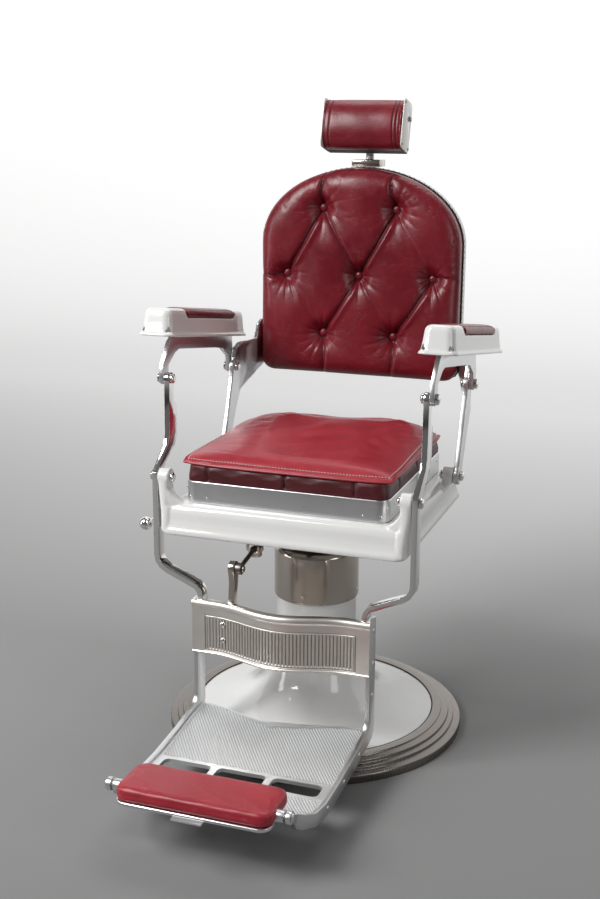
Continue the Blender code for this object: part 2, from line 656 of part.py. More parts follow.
def make_recline_lock():
    pin_y, pin_z = LOCK_PIN
    pivot_y, pivot_z = LOCK_PIVOT
    along = Vector((0, pivot_y - pin_y, pivot_z - pin_z)).normalized()
    pin = Vector((LOCK_X, pin_y, pin_z))
    pivot = Vector((LOCK_X, pivot_y, pivot_z))
    eye_half = 0.0065
    rod = cylinder("lock_rod", pin + Vector((-eye_half, 0, 0)), pin + Vector((eye_half, 0, 0)),
                   LOCK_EYE_RADIUS * 0.8, STEEL)
    join(rod, cylinder("lock_rod_bar", pin + along * 0.008, pin + along * LOCK_ROD_LENGTH, LOCK_ROD_RADIUS,
                       None, parts=False, segments=14))
    cut(rod, cylinder("lock_eye_hole", pin - Vector((0.02, 0, 0)), pin + Vector((0.02, 0, 0)), 0.004 + RUN,
                      None, parts=False, segments=14))
    boss_high = LOCK_X - eye_half - GAP
    boss_low = boss_high - 0.0135
    apron_z = APRON_TOP - 0.040
    outline = arc((pin_y, pin_z), LOCK_EYE_RADIUS, -30, 210, 13)
    outline += [(pin_y - 0.009, pin_z - 0.030), (-0.2290, APRON_TOP), (-0.2290, apron_z),
                (-0.2170, apron_z), (-0.2120, APRON_TOP), (pin_y + 0.010, pin_z - 0.030)]
    lug = plate_x("lock_lug", outline, boss_low, boss_high, STEEL)
    foot_y = apron_back(boss_low) + GAP
    join(lug, box("lock_lug_foot", (boss_low, foot_y, apron_z - 0.004),
                  (boss_high, -0.2200, apron_z + 0.030), None, parts=False))
    bm = bmesh.new()
    stud_end = LOCK_X + eye_half + 2 * GAP
    add_cylinder(bm, (boss_low + 0.003, pin_y, pin_z), (stud_end + 0.001, pin_y, pin_z), 0.004, 14)
    stud = from_bmesh("lock_stud", bm, None, parts=False)
    join(lug, stud, cylinder("lock_stud_head", (stud_end, pin_y, pin_z), (stud_end + 0.004, pin_y, pin_z), 0.007,
                             None, parts=False, segments=14))

    # clamp that turns on a trunnion and slides over the rod
    half = 0.0130
    turn = Matrix.Translation(pivot) @ along.to_track_quat("Y", "Z").to_matrix().to_4x4()
    bm = bmesh.new()
    bmesh.ops.create_cube(bm, size=1.0, matrix=turn @ Matrix.Diagonal((2 * half, 0.024, 0.024, 1.0)))
    clamp = from_bmesh("lock_clamp", bm, NICKEL)
    plate_high = LOCK_X - half - GAP
    plate_low = plate_high - 0.005
    join(clamp, cylinder("lock_trunnion", (plate_low - 0.003, pivot_y, pivot_z),
                         (LOCK_X - half + 0.002, pivot_y, pivot_z), 0.004, None, parts=False, segments=14))
    cut(clamp, cylinder("lock_clamp_bore", pivot - along * 0.03, pivot + along * 0.03, LOCK_BORE_RADIUS, None,
                        parts=False, segments=20))
    down = (turn.to_3x3() @ Vector((0, 0, -1))).normalized()
    join(clamp, cylinder("lock_screw_head", pivot + down * 0.010, pivot + down * 0.020, 0.0125, None, parts=False,
                         segments=18))
    deck_bottom = DECK_TOP - DECK_THICKNESS - GAP
    outline = [(pivot_y + 0.018, deck_bottom), (pivot_y - 0.018, deck_bottom)]
    outline += arc((pivot_y, pivot_z), 0.011, 180, 360, 9)
    plate_x("lock_bracket", outline, plate_low, plate_high, STEEL, holes=((pivot_y, pivot_z, 0.004 + RUN),))


# ---------------------------------------------------------------- legrest
def lever_outline():
    """Side view of the lever strap from the arm pivot down past the front ear, as (y, z)."""
    ear_y, ear_z = FRONT_EAR
    arm_y, arm_z = ARM_FRONT
    half = LEVER_DEPTH / 2
    front = arm_y - 0.0105
    outline = arc((arm_y, arm_z), 0.0130, -20, 200, 9)
    outline += [(front - 0.0015, arm_z - 0.020), (front - 0.0035, arm_z - 0.120),
                (front - 0.012, arm_z - 0.140), (ear_y - half - 0.001, ear_z + 0.010),
                (ear_y - half, ear_z - 0.012), (ear_y - half, ear_z - 0.105),
                (ear_y + half, ear_z - 0.105), (ear_y + half, ear_z - 0.010),
                (ear_y + half + 0.004, ear_z + 0.012), (arm_y + 0.016, arm_z - 0.143),
                (arm_y + 0.024, arm_z - 0.120), (arm_y + 0.024, arm_z - 0.062),
                (arm_y + 0.019, arm_z - 0.054), (arm_y + 0.0095, arm_z - 0.050)]
    return outline


def s_bend(side):
    """Lower bar: its (x, z) centre line and half thickness, swept through its depth along Y."""
    ear_y, ear_z = FRONT_EAR
    centre = STRAP_INNER_X + STRAP_THICKNESS / 2
    tail = SIDE_STRAP_X - GAP - STRAP_THICKNESS / 2
    route = [(centre, ear_z - 0.100), (centre, ear_z - 0.172), (centre - 0.002, ear_z - 0.183),
             (centre - 0.010, ear_z - 0.195), (centre - 0.024, ear_z - 0.204), (centre - 0.048, ear_z - 0.214),
             (centre - 0.068, ear_z - 0.2225), (tail + 0.0095, ear_z - 0.232), (tail + 0.0020, ear_z - 0.242),
             (tail, APRON_TOP + 0.0045), (tail, APRON_TOP - 0.060)]
    rings = []
    for i, (x, z) in enumerate(route):
        before = Vector(route[max(i - 1, 0)])
        after = Vector(route[min(i + 1, len(route) - 1)])
        tangent = (after - before).normalized()
        normal = Vector((-tangent.y, tangent.x)) * (STRAP_THICKNESS / 2)
        low_y = ear_y - LEVER_DEPTH / 2
        high_y = ear_y + LEVER_DEPTH / 2
        rings.append([(side * (x + normal.x), low_y, z + normal.y), (side * (x + normal.x), high_y, z + normal.y),
                      (side * (x - normal.x), high_y, z - normal.y), (side * (x - normal.x), low_y, z - normal.y)])
    return rings


def strap_shift(y):
    """How far the side straps draw in towards the footpad's pivots."""
    return (SIDE_STRAP_X + SIDE_STRAP_THICKNESS - KNUCKLE_OUTER_X) * smoothstep(-y, 0.540, 0.618)


def side_strap_rings(side):
    """Sections down the strap and out along the footplate: paired upper and lower edge points."""
    front = APRON_FRONT + GAP
    rear = front + SIDE_STRAP_DEPTH
    pairs = (((front, APRON_TOP), (rear, APRON_TOP)), ((front, 0.128), (rear, 0.100)),
             ((front - 0.004, 0.114), (rear - 0.004, 0.086)), ((front - 0.016, 0.1045), (rear - 0.014, 0.0755)),
             ((-0.330, 0.0925), (-0.330, 0.0610)), ((-0.440, 0.0835), (-0.440, 0.0545)),
             ((-0.510, 0.0830), (-0.510, 0.0550)), ((-0.560, 0.0900), (-0.560, 0.0620)),
             ((-0.596, 0.1040), (-0.604, 0.0780)), ((-0.622, 0.1200), (-0.634, 0.0960)),
             ((-0.646, 0.1320), (-0.654, 0.1240)))
    rings = []
    for (upper_y, upper_z), (lower_y, lower_z) in pairs:
        shift = strap_shift((upper_y + lower_y) / 2)
        thin = 0.0003 if shift > 0.0 else 0.0
        inner = side * (SIDE_STRAP_X - shift + thin)
        outer = side * (SIDE_STRAP_X + SIDE_STRAP_THICKNESS - shift - thin)
        rings.append([(inner, upper_y, upper_z), (outer, upper_y, upper_z), (outer, lower_y, lower_z),
                      (inner, lower_y, lower_z)])
    return rings


def tread_height(y):
    """Top of the footplate: it dips under the slots and rises again to the footpad."""
    dip = smoothstep(-y, -TREAD_REAR, 0.450)
    rise = smoothstep(-y, 0.510, 0.640)
    return 0.0960 - 0.0190 * dip + 0.0180 * rise


def make_legrest():
    strap_outer = STRAP_INNER_X + STRAP_THICKNESS
    for label, side in SIDES:
        low, high = sorted((side * STRAP_INNER_X, side * strap_outer))
        strap = plate_x(f"lever_strap_{label}", lever_outline(), low, high, CHROME,
                        holes=((*FRONT_EAR, PIVOT_RADIUS + RUN), (*ARM_FRONT, PIVOT_RADIUS + RUN)))
        join(strap, loft(f"s_bend_{label}", s_bend(side), None, parts=False))

        side_strap = loft(f"side_strap_{label}", side_strap_rings(side), ALUMINIUM)
        knuckle_inner = KNUCKLE_OUTER_X - SIDE_STRAP_THICKNESS
        join(side_strap, cylinder(f"knuckle_{label}", (side * knuckle_inner, *FOOTPAD_AXIS),
                                  (side * KNUCKLE_OUTER_X, *FOOTPAD_AXIS), 0.0125, None, parts=False))
        cut(side_strap, cylinder(f"knuckle_hole_{label}", (side * 0.15, *FOOTPAD_AXIS),
                                 (side * 0.20, *FOOTPAD_AXIS), 0.004 + RUN, None, parts=False, segments=14))

    make_apron()
    make_footplate()


def apron_stations():
    """Stations across the apron as (x, y of its back face), closer together towards its ends."""
    half = SIDE_STRAP_X + SIDE_STRAP_THICKNESS
    count = 18
    for i in range(count + 1):
        x = half * math.sin(math.pi / 2 * (2.0 * i / count - 1.0))
        yield x, APRON_FRONT - GAP - APRON_BOW * bump(x, 0.150)


def apron_back(x):
    """Back face of the apron at x, straight between its stations."""
    stations = list(apron_stations())
    for (low_x, low_y), (high_x, high_y) in zip(stations, stations[1:]):
        if low_x <= x <= high_x:
            return low_y + (high_y - low_y) * (x - low_x) / (high_x - low_x)
    return APRON_FRONT - GAP


def make_apron():
    """Bowed apron between the straps, with beads along its top and bottom edges."""
    half = SIDE_STRAP_X + SIDE_STRAP_THICKNESS
    rings = []
    for x, front in apron_stations():
        field = -0.0022 * smoothstep(half - abs(x), 0.012, 0.020)
        face = front - APRON_THICKNESS
        rings.append([(x, front, APRON_TOP), (x, front - 0.0055, APRON_TOP),
                      (x, front - 0.0085, APRON_TOP - 0.004), (x, face, APRON_TOP - 0.011),
                      (x, face, APRON_TOP - 0.023), (x, face - field, APRON_TOP - 0.026),
                      (x, face - field, APRON_BOTTOM + 0.012), (x, face, APRON_BOTTOM + 0.009),
                      (x, face, APRON_BOTTOM), (x, front, APRON_BOTTOM)])
    apron = loft("legrest_apron", rings, ALUMINIUM, smooth=25.0)
    flange = []
    for i in range(17):
        x = APRON_FLANGE_HALF * (i / 8.0 - 1.0)
        back = apron_back(x)
        flange.append([(x, back - 0.002, APRON_TOP - 0.0045), (x, back - 0.002, APRON_TOP - 0.0005),
                       (x, back + APRON_FLANGE - 0.001, APRON_TOP - 0.0005),
                       (x, back + APRON_FLANGE, APRON_TOP - 0.0015), (x, back + APRON_FLANGE, APRON_TOP - 0.0045)])
    join(apron, loft("apron_flange", flange, None, parts=False))


def make_footplate():
    half = SIDE_STRAP_X - GAP
    columns = 10
    rows = (0.0, 0.15, 0.35, 0.60, 0.80, 0.92, 1.0)
    rings = []
    for share in rows:
        top, under = [], []
        for i in range(columns + 1):
            u = 2.0 * i / columns - 1.0
            rear = TREAD_REAR - TREAD_BOW * bump(u * half, 0.175)
            y = rear + (TREAD_FRONT - rear) * share
            x = u * (half - strap_shift(y - 0.008))
            z = tread_height(y)
            top.append((x, y, z))
            under.append((x, y, z - TREAD_THICKNESS))
        rings.append(top + under[::-1])
    plate = loft("footplate", rings, ALUMINIUM, smooth=25.0)
    slot = 0.103
    gap = 0.014
    for n in (-1, 0, 1):
        middle = n * (slot + gap)
        outline = rounded_rectangle(middle - slot / 2, middle + slot / 2, SLOT_FRONT, SLOT_REAR, 0.012, 4)
        cut(plate, loft(f"footplate_slot_{n + 1}", [[(x, y, z) for x, y in outline] for z in (0.03, 0.14)], None,
                        parts=False))


def make_footpad():
    axis_y, axis_z = FOOTPAD_AXIS

    def ring(inset, z):
        outline = rounded_rectangle(-TRAY_HALF_WIDTH + inset, TRAY_HALF_WIDTH - inset, TRAY_FRONT + inset,
                                    TRAY_REAR - inset, TRAY_CORNER - inset, 5)
        return [(x, y, z) for x, y in outline]

    top = TRAY_BOTTOM + TRAY_THICKNESS
    tray = loft("footpad_tray", [ring(0.003, TRAY_BOTTOM), ring(0.0, TRAY_BOTTOM + 0.002),
                                 ring(0.0, top - 0.001), ring(0.001, top)], ALUMINIUM)
    for label, side in SIDES:
        inner = FOOT_CUSHION_HALF_WIDTH + 0.0008
        low, high = sorted((side * inner, side * (TRAY_HALF_WIDTH - 0.0005)))
        barrel = cylinder(f"tray_barrel_{label}", (side * inner, axis_y, axis_z),
                          (side * BARREL_OUTER_X, axis_y, axis_z), BARREL_RADIUS, None, parts=False)
        cheek = box(f"tray_cheek_{label}", (low, axis_y - 0.0095, TRAY_BOTTOM + 0.003),
                    (high, axis_y + 0.0095, axis_z), None, parts=False)
        join(tray, cheek, barrel)
        join(tray, turned_x(f"tray_trunnion_{label}", side, axis_y, axis_z, (
            (0.0, KNUCKLE_OUTER_X + 0.0035), (0.0070, KNUCKLE_OUTER_X + 0.0035), (0.0095, KNUCKLE_OUTER_X + 0.0020),
            (0.0095, KNUCKLE_OUTER_X + GAP), (0.004, KNUCKLE_OUTER_X + GAP), (0.004, inner + 0.004),
            (0.0, inner + 0.004)), None, steps=12, parts=False))
    join(tray, box("footpad_tab", (-0.030, TRAY_FRONT - 0.014, TRAY_BOTTOM + 0.0005),
                   (0.030, TRAY_FRONT + 0.010, TRAY_BOTTOM + 0.0035), None, parts=False))

    base = top + GAP
    height = FOOT_CUSHION_HEIGHT
    front = TRAY_FRONT + 0.004
    rear = TRAY_REAR - 0.0015

    def pad_ring(inset, z):
        outline = rounded_rectangle(-FOOT_CUSHION_HALF_WIDTH + inset, FOOT_CUSHION_HALF_WIDTH - inset, front + inset,
                                    rear - inset, max(TRAY_CORNER - inset, 0.18 * TRAY_CORNER), 5)
        return [(x, y, z) for x, y in outline]

    # insets of the cushion's rings as shares of its depth, with their levels as shares of its height
    rings = [pad_ring(share * TRAY_DEPTH, base + height * level) for share, level in (
        (0.027, 0.0), (0.004, 0.18), (0.0, 0.42), (0.018, 0.66), (0.059, 0.83), (0.118, 0.92), (0.218, 0.975),
        (0.345, 1.0))]
    loft("footpad_cushion", rings, LEATHER, smooth=60.0)


# ---------------------------------------------------------------- back
def arch(inset, count=18):
    """Outline of the back as (x, z): round bottom corners, upright sides and an elliptical arch."""
    half = BACK_HALF_WIDTH - inset
    rise = BACK_TOP - BACK_SPRING - inset
    corner = BACK_CORNER - inset if BACK_CORNER > inset + 0.004 else 0.004
    bottom = BACK_BOTTOM + inset
    points = arc((-half + corner, bottom + corner), corner, 180, 270, 4)
    points += arc((half - corner, bottom + corner), corner, 270, 360, 4)
    for i in range(count + 1):
        angle = math.pi * i / count
        points.append((half * math.cos(angle), BACK_SPRING + rise * math.sin(angle)))
    return points


def make_back_shell():
    inner_y = BACK_BOARD_FRONT + GAP
    outline = arch(-0.002)
    shell = loft("back_shell", [[(x, y, z) for x, z in ring] for ring, y in (
        (outline, inner_y), (outline, BACK_REAR - 0.008), (arch(0.001), BACK_REAR - 0.002),
        (arch(0.006), BACK_REAR))], ENAMEL)
    pocket = [[(x, y, z) for x, z in arch(SHELL_WALL)] for y in (inner_y - 0.01, BACK_REAR - SHELL_WALL)]
    cut(shell, loft("back_shell_pocket", pocket, None, parts=False))
    board = [[(x, y, z) for x, z in arch(SHELL_WALL + GAP)] for y in (inner_y, BACK_REAR - SHELL_WALL - GAP)]
    loft("back_board", board, WOOD)


def tuft_depth(x, z):
    """How far the leather is drawn in at a point by buttons and the folds between them."""
    depth = 0.0
    for bx, bz in BUTTONS:
        reach = math.hypot(x - bx, z - bz)
        depth = max(depth, 0.020 * math.exp(-(reach / 0.026) ** 2) + 0.004 * math.exp(-(reach / 0.060) ** 2))
    lines = [(BUTTONS[a], BUTTONS[b], 0.006) for a, b in FOLDS]
    lines += [(BUTTONS[0], (-0.075, BACK_TOP), 0.006), (BUTTONS[1], (0.085, BACK_TOP), 0.006)]
    lines += [(BUTTONS[2], (-BACK_HALF_WIDTH, 0.970), 0.005), (BUTTONS[4], (BACK_HALF_WIDTH, 0.970), 0.004)]
    lines += [(BUTTONS[5], (-0.082, BACK_BOTTOM), 0.004), (BUTTONS[6], (0.082, BACK_BOTTOM), 0.004)]
    for (ax, az), (bx, bz), strength in lines:
        span = Vector((bx - ax, bz - az))
        share = min(max(Vector((x - ax, z - az)).dot(span) / span.length_squared, 0.0), 1.0)
        off = math.hypot(x - ax - share * span.x, z - az - share * span.y)
        depth = max(depth, strength * math.exp(-(off / 0.011) ** 2))
    return depth


def make_back_cushion():
    columns, rows = 22, 25
    rear = BACK_BOARD_FRONT
    side_y = rear - 0.010
    half = BACK_HALF_WIDTH
    rise = BACK_TOP - BACK_SPRING

    def span(x):
        share = min(abs(x) / half, 1.0)
        top = BACK_SPRING + rise * math.sqrt(max(0.0, 1.0 - share * share))
        corner = max(0.0, abs(x) - (half - BACK_CORNER))
        bottom = BACK_BOTTOM + BACK_CORNER - math.sqrt(max(0.0, BACK_CORNER ** 2 - corner ** 2))
        return bottom, top

    def edge_distance(x, z):
        bottom, top = span(x)
        side = half - abs(x)
        if z > BACK_SPRING:
            level = math.sqrt((x / half) ** 2 + ((z - BACK_SPRING) / rise) ** 2)
            side = (1.0 - level) * (rise + (half - rise) * abs(x) / half)
        return max(0.0, min(side, z - bottom))

    bm = bmesh.new()
    bmesh.ops.create_grid(bm, x_segments=columns, y_segments=rows, size=1.0)
    for vert in bm.verts:
        x = half * math.sin(math.pi / 2 * vert.co.x) * 0.9998
        level = vert.co.y
        bottom, top = span(x)
        share = 0.5 + 0.5 * (0.35 * math.sin(math.pi / 2 * level) + 0.65 * level)
        z = bottom + (top - bottom) * share
        roll = min(edge_distance(x, z) / 0.055, 1.0)
        crown = math.sqrt(max(0.0, 1.0 - (1.0 - roll) ** 2))
        y = side_y - 0.012 - (side_y - 0.012 - BACK_FRONT) * crown + tuft_depth(x, z) * crown
        vert.co = (x, y, z)
    border = drop_skirt(bm, lambda co: Vector((co.x, rear, co.z)))
    bmesh.ops.edgeloop_fill(bm, edges=border)
    from_bmesh("back_cushion", bm, LEATHER, smooth=60.0)


def bracket_x(y):
    """Plan view of a back bracket: in the link's plane at its pivots, drawn in to the back's side."""
    inner = BACK_HALF_WIDTH + 0.002 + GAP
    return STRAP_INNER_X + (inner - STRAP_INNER_X) * smoothstep(y, BRACKET_BEND[0], BRACKET_BEND[-1])


def make_back_brackets():
    stations = ((-0.0150, -0.010, 0.010), (0.0130, -0.0135, 0.0230), (0.058, 0.004, 0.045),
                (0.098, 0.020, 0.066), (0.138, 0.033, 0.094), (0.173, 0.046, 0.132), (0.194, 0.050, 0.172),
                (0.210, 0.056, 0.205), (0.238, 0.068, 0.205), (0.249, 0.094, 0.205), (0.255, 0.132, 0.205),
                (0.266, 0.134, 0.205), (0.288, 0.139, 0.204), (0.300, 0.152, 0.196))
    base_y, base_z = REAR_EAR
    last = len(BRACKET_BEND) + 1
    for label, side in SIDES:
        rings = []
        for rise, front, rear in stations:
            inner_side, outer_side = [], []
            depth = rear - front
            for i in range(last + 1):
                y = base_y + (front if i == 0 else rear)
                if 0 < i < last:
                    low_y = base_y + front + depth * 0.12 * i
                    high_y = base_y + rear - depth * 0.06 * (last - i)
                    y = min(max(BRACKET_BEND[i - 1], low_y), high_y)
                x = bracket_x(y)
                inner_side.append((side * x, y, base_z + rise))
                taper = 1.0 - 0.35 * smoothstep(y, BRACKET_BEND[0], BRACKET_BEND[-1])
                outer_side.append((side * (x + STRAP_THICKNESS * taper), y, base_z + rise))
            rings.append(inner_side + outer_side[::-1])
        bracket = loft(f"back_bracket_{label}", rings, ALUMINIUM)
        low = side * STRAP_INNER_X
        high = side * (STRAP_INNER_X + STRAP_THICKNESS)
        join(bracket, cylinder(f"rear_boss_{label}", (low, *REAR_EAR), (high, *REAR_EAR), 0.0205, None, parts=False),
             cylinder(f"arm_boss_{label}", (low, *ARM_REAR), (high, *ARM_REAR), 0.0165, None, parts=False))
        for n, (y, z) in enumerate((REAR_EAR, ARM_REAR)):
            cut(bracket, cylinder(f"bracket_hole_{label}_{n}", (side * (STRAP_INNER_X - 0.01), y, z),
                                  (side * (STRAP_INNER_X + 0.02), y, z), PIVOT_RADIUS + RUN, None, parts=False,
                                  segments=16))

# ---------------------------------------------------------------- headrest
def make_headrest_post():
    rear = POST_Y + POST_THICKNESS / 2
    front = POST_Y - POST_THICKNESS / 2
    socket_z = BACK_TOP + 0.002 + GAP
    guide = box("post_guide", (-SOCKET_HALF_WIDTH, 0.320, socket_z),
                (SOCKET_HALF_WIDTH, rear + 0.006, socket_z + SOCKET_HEIGHT), NICKEL)
    bevel(guide, 0.002, 2)
    join(guide, box("guide_stem", (-POST_HALF_WIDTH - GUIDE_WALL, BACK_REAR + GAP, GUIDE_BOTTOM),
                    (POST_HALF_WIDTH + GUIDE_WALL, rear + GUIDE_WALL, socket_z + 0.005), None, parts=False))
    cut(guide, box("guide_slot", (-POST_HALF_WIDTH - RUN, front - RUN, 0.9), (POST_HALF_WIDTH + RUN, rear + RUN, 1.3),
                   None, parts=False))
    knob_z = 1.130
    shaft = 0.0040
    cut(guide, cylinder("knob_hole", (0, POST_Y, knob_z), (0, rear + 0.03, knob_z), shaft + RUN, None, parts=False,
                        segments=14))
    knob = cylinder("headrest_lock_knob", (0, rear + GUIDE_WALL + GAP, knob_z), (0, rear + GUIDE_WALL + 0.012, knob_z),
                    0.015, CHROME, segments=20)
    join(knob, cylinder("knob_shaft", (0, rear + GAP * 2, knob_z), (0, rear + GUIDE_WALL + 0.006, knob_z), shaft, None,
                        parts=False, segments=14))

    post = box("headrest_post", (-POST_HALF_WIDTH, front, POST_BOTTOM), (POST_HALF_WIDTH, rear, HEADREST_PIVOT_Z),
               STEEL)
    bevel(post, 0.0015, 1)
    join(post, cylinder("post_eye", (-POST_HALF_WIDTH + GAP, POST_Y, HEADREST_PIVOT_Z),
                        (POST_HALF_WIDTH - GAP, POST_Y, HEADREST_PIVOT_Z), 0.0095, None, parts=False, segments=18))
    cut(post, cylinder("post_eye_hole", (-0.02, POST_Y, HEADREST_PIVOT_Z), (0.02, POST_Y, HEADREST_PIVOT_Z),
                       0.003 + RUN, None, parts=False, segments=14))


def headrest_point(x, forward, up):
    """Point of the headrest's own frame, which leans back with its tilt."""
    centre_y, centre_z = HEADREST_CENTRE
    y = centre_y - forward * math.cos(HEADREST_TILT) + up * math.sin(HEADREST_TILT)
    z = centre_z + forward * math.sin(HEADREST_TILT) + up * math.cos(HEADREST_TILT)
    return (x, y, z)


def make_headrest():
    half = HEADREST_HALF_WIDTH - END_PLATE_THICKNESS
    case_front = -0.010
    case_rear = case_front - HEADREST_CASE_DEPTH
    reach = HEADREST_HALF_HEIGHT
    wall = 0.003

    def slab(name, xs, forwards, ups, finish=None, parts=False):
        outline = ((xs[0], forwards[0]), (xs[1], forwards[0]), (xs[1], forwards[1]), (xs[0], forwards[1]))
        rings = [[headrest_point(x, forward, up) for x, forward in outline] for up in ups]
        return loft(name, rings, finish, parts=parts)

    case = slab("headrest_case", (-half, half), (case_rear, case_front), (-reach, reach), ENAMEL, parts=True)
    cut(case, slab("case_hollow", (-half - 0.01, half + 0.01), (case_rear + wall, case_front + 0.01),
                   (-reach + wall, reach - wall)))
    lug_low = POST_HALF_WIDTH + GAP
    pivot_y, pivot_z = POST_Y, HEADREST_PIVOT_Z
    root_low = headrest_point(0, case_rear + 0.0015, -0.0430)[1:]
    root_high = headrest_point(0, case_rear + 0.0015, -0.0240)[1:]
    outline = arc((pivot_y, pivot_z), 0.0090, -80, 90, 9) + [root_high, root_low]
    for label, side in SIDES:
        low, high = sorted((side * lug_low, side * (lug_low + 0.006)))
        join(case, plate_x(f"case_lug_{label}", outline, low, high, None, parts=False))
    cut(case, cylinder("case_pin_hole", (-0.03, pivot_y, pivot_z), (0.03, pivot_y, pivot_z), 0.003 + GAP, None,
                       parts=False, segments=14))
    pin_end = lug_low + 0.006 + 0.003
    cylinder("headrest_pin", (-pin_end, pivot_y, pivot_z), (pin_end, pivot_y, pivot_z), 0.003, STEEL, segments=14)

    # end plates, one each side, with the spindle's hole
    spindle = (-0.024, 0.020)
    outline = rounded_rectangle(case_rear, 0.030, -reach, reach, 0.012, 4)
    for label, side in SIDES:
        rings = [[headrest_point(side * x, a, b) for a, b in outline] for x in (half + GAP, HEADREST_HALF_WIDTH)]
        plate = loft(f"headrest_end_{label}", rings, ENAMEL)
        cut(plate, cylinder(f"spindle_hole_{label}", headrest_point(side * 0.08, *spindle),
                            headrest_point(side * 0.11, *spindle), 0.0042 + RUN, None, parts=False, segments=14))

    # leather pad: convex front drawn over the top and bottom of the case
    columns = 13
    rings = []
    back = case_front + GAP
    spread = half - 0.0004
    for i in range(columns + 1):
        x = spread * math.sin(math.pi / 2 * (2.0 * i / columns - 1.0))
        swell = 1.0 - 0.10 * (abs(x) / spread) ** 6
        ring = []
        for j in range(13):
            angle = -math.pi / 2 + math.pi * j / 12
            forward = back + 0.006 + (HEADREST_BULGE - back - 0.006) * math.cos(angle) ** 0.75 * swell
            rise = reach * math.sin(angle) * (0.985 + 0.015 * swell)
            ring.append(headrest_point(x, max(forward, back + 0.004), rise))
        ring.append(headrest_point(x, back, reach * 0.985))
        ring.append(headrest_point(x, back, -reach * 0.985))
        rings.append(ring)
    loft("headrest_pad", rings, LEATHER, smooth=60.0)

    knob = HEADREST_HALF_WIDTH + GAP
    body = half - 0.002
    profile = ((0.0, knob + 0.004), (0.0045, knob + 0.004), (0.0065, knob + 0.003), (0.0065, knob), (0.0042, knob),
               (0.0042, body), (SPINDLE_RADIUS, body))
    profile += tuple((radius, -x) for radius, x in reversed(profile))
    roll = turned("paper_spindle", profile, WOOD, steps=12)
    roll.location = headrest_point(0.0, *spindle)
    roll.rotation_euler = (0.0, math.pi / 2, 0.0)


# ---------------------------------------------------------------- arms
def arm_point(side, across, along, up):
    """Point of an armrest's own frame: along runs rearwards and down with the arm's slope."""
    front_y, front_z = ARM_FRONT_BOTTOM
    y = front_y + along * math.cos(ARM_SLOPE) + up * math.sin(ARM_SLOPE)
    z = front_z - along * math.sin(ARM_SLOPE) + up * math.cos(ARM_SLOPE)
    return (side * (ARM_CENTRE_X + across + ARM_SPLAY * along), y, z)


def arm_ring(side, inset, up, corner=0.018, points=5):
    outline = rounded_rectangle(-ARM_HALF_WIDTH + inset, ARM_HALF_WIDTH - inset, inset * 1.1, ARM_LENGTH - inset * 1.1,
                                max(corner - inset * 0.4, 0.006), points)
    return [arm_point(side, across, along, up) for across, along in outline]


def saddle(side, name, grow, low, high, finish=None, parts=False):
    """Solid across the arm between the saddle's ends, with round lower corners."""
    start = ARM_SADDLE_START - grow
    end = ARM_SADDLE_END + grow
    radius = 0.008
    outline = [(start, high)] + arc((start + radius, low + radius), radius, 180, 270, 4)
    outline += arc((end - radius, low + radius), radius, 270, 360, 4) + [(end, high)]
    rings = [[arm_point(side, across, along, up) for along, up in outline] for across in (-0.06, 0.06)]
    return loft(name, rings, finish, parts=parts)


def make_arms():
    saddle_floor = ARM_HEIGHT - ARM_SADDLE_DEPTH
    cavity_top = saddle_floor - ARM_WALL
    strap_outer = STRAP_INNER_X + STRAP_THICKNESS
    for label, side in SIDES:
        shell = loft(f"armrest_{label}", [arm_ring(side, inset, up) for inset, up in (
            (0.0008, 0.0), (0.0, 0.0025), (0.0012, 0.0055), (0.0050, 0.0085), (0.0090, 0.0480), (0.0110, 0.0545),
            (0.0150, 0.0580), (0.0210, ARM_HEIGHT))], ENAMEL)
        cut(shell, saddle(side, f"saddle_cut_{label}", 0.0, saddle_floor, ARM_HEIGHT + 0.02),
            loft(f"arm_cavity_{label}", [arm_ring(side, 0.0075, -0.01), arm_ring(side, 0.0085, 0.008),
                                         arm_ring(side, 0.0085 + ARM_WALL, cavity_top)], None, parts=False))

        rows = (0.0, 0.012, 0.030, 0.16, 0.5, 0.84, 0.970, 0.988, 1.0)
        start = ARM_SADDLE_START + GAP
        end = ARM_SADDLE_END - GAP
        low = saddle_floor + GAP
        rings = []
        for share in rows:
            along = start + (end - start) * share
            ease = min(share, 1.0 - share)
            full = smoothstep(ease, -0.012, 0.030)
            top = ARM_HEIGHT - 0.006 + (0.006 + ARM_PAD_CROWN) * full
            foot = low + 0.008 * (1.0 - smoothstep(ease, -0.004, 0.030)) + 0.0004
            side_in = 0.0066
            profile = ((-0.0002, 0.0), (-0.0016, 0.25), (-0.0004, 0.55), (0.0030, 0.78), (0.0100, 0.93),
                       (0.0200, 1.0))
            half_points = [(ARM_HALF_WIDTH - side_in - inset, foot + (top - foot) * level)
                           for inset, level in profile]
            ring = [arm_point(side, across, along, up) for across, up in half_points]
            ring += [arm_point(side, -across, along, up) for across, up in reversed(half_points)]
            rings.append(ring)
        loft(f"arm_pad_{label}", rings, LEATHER, smooth=60.0)

        low_x, high_x = sorted((side * (strap_outer + GAP), side * (strap_outer + GAP + ARM_BRACKET_THICKNESS)))
        plate_x(f"arm_bracket_{label}", arm_bracket_outline(), low_x, high_x, ALUMINIUM,
                holes=((*ARM_FRONT, PIVOT_RADIUS + RUN), (*ARM_REAR, PIVOT_RADIUS + RUN)))


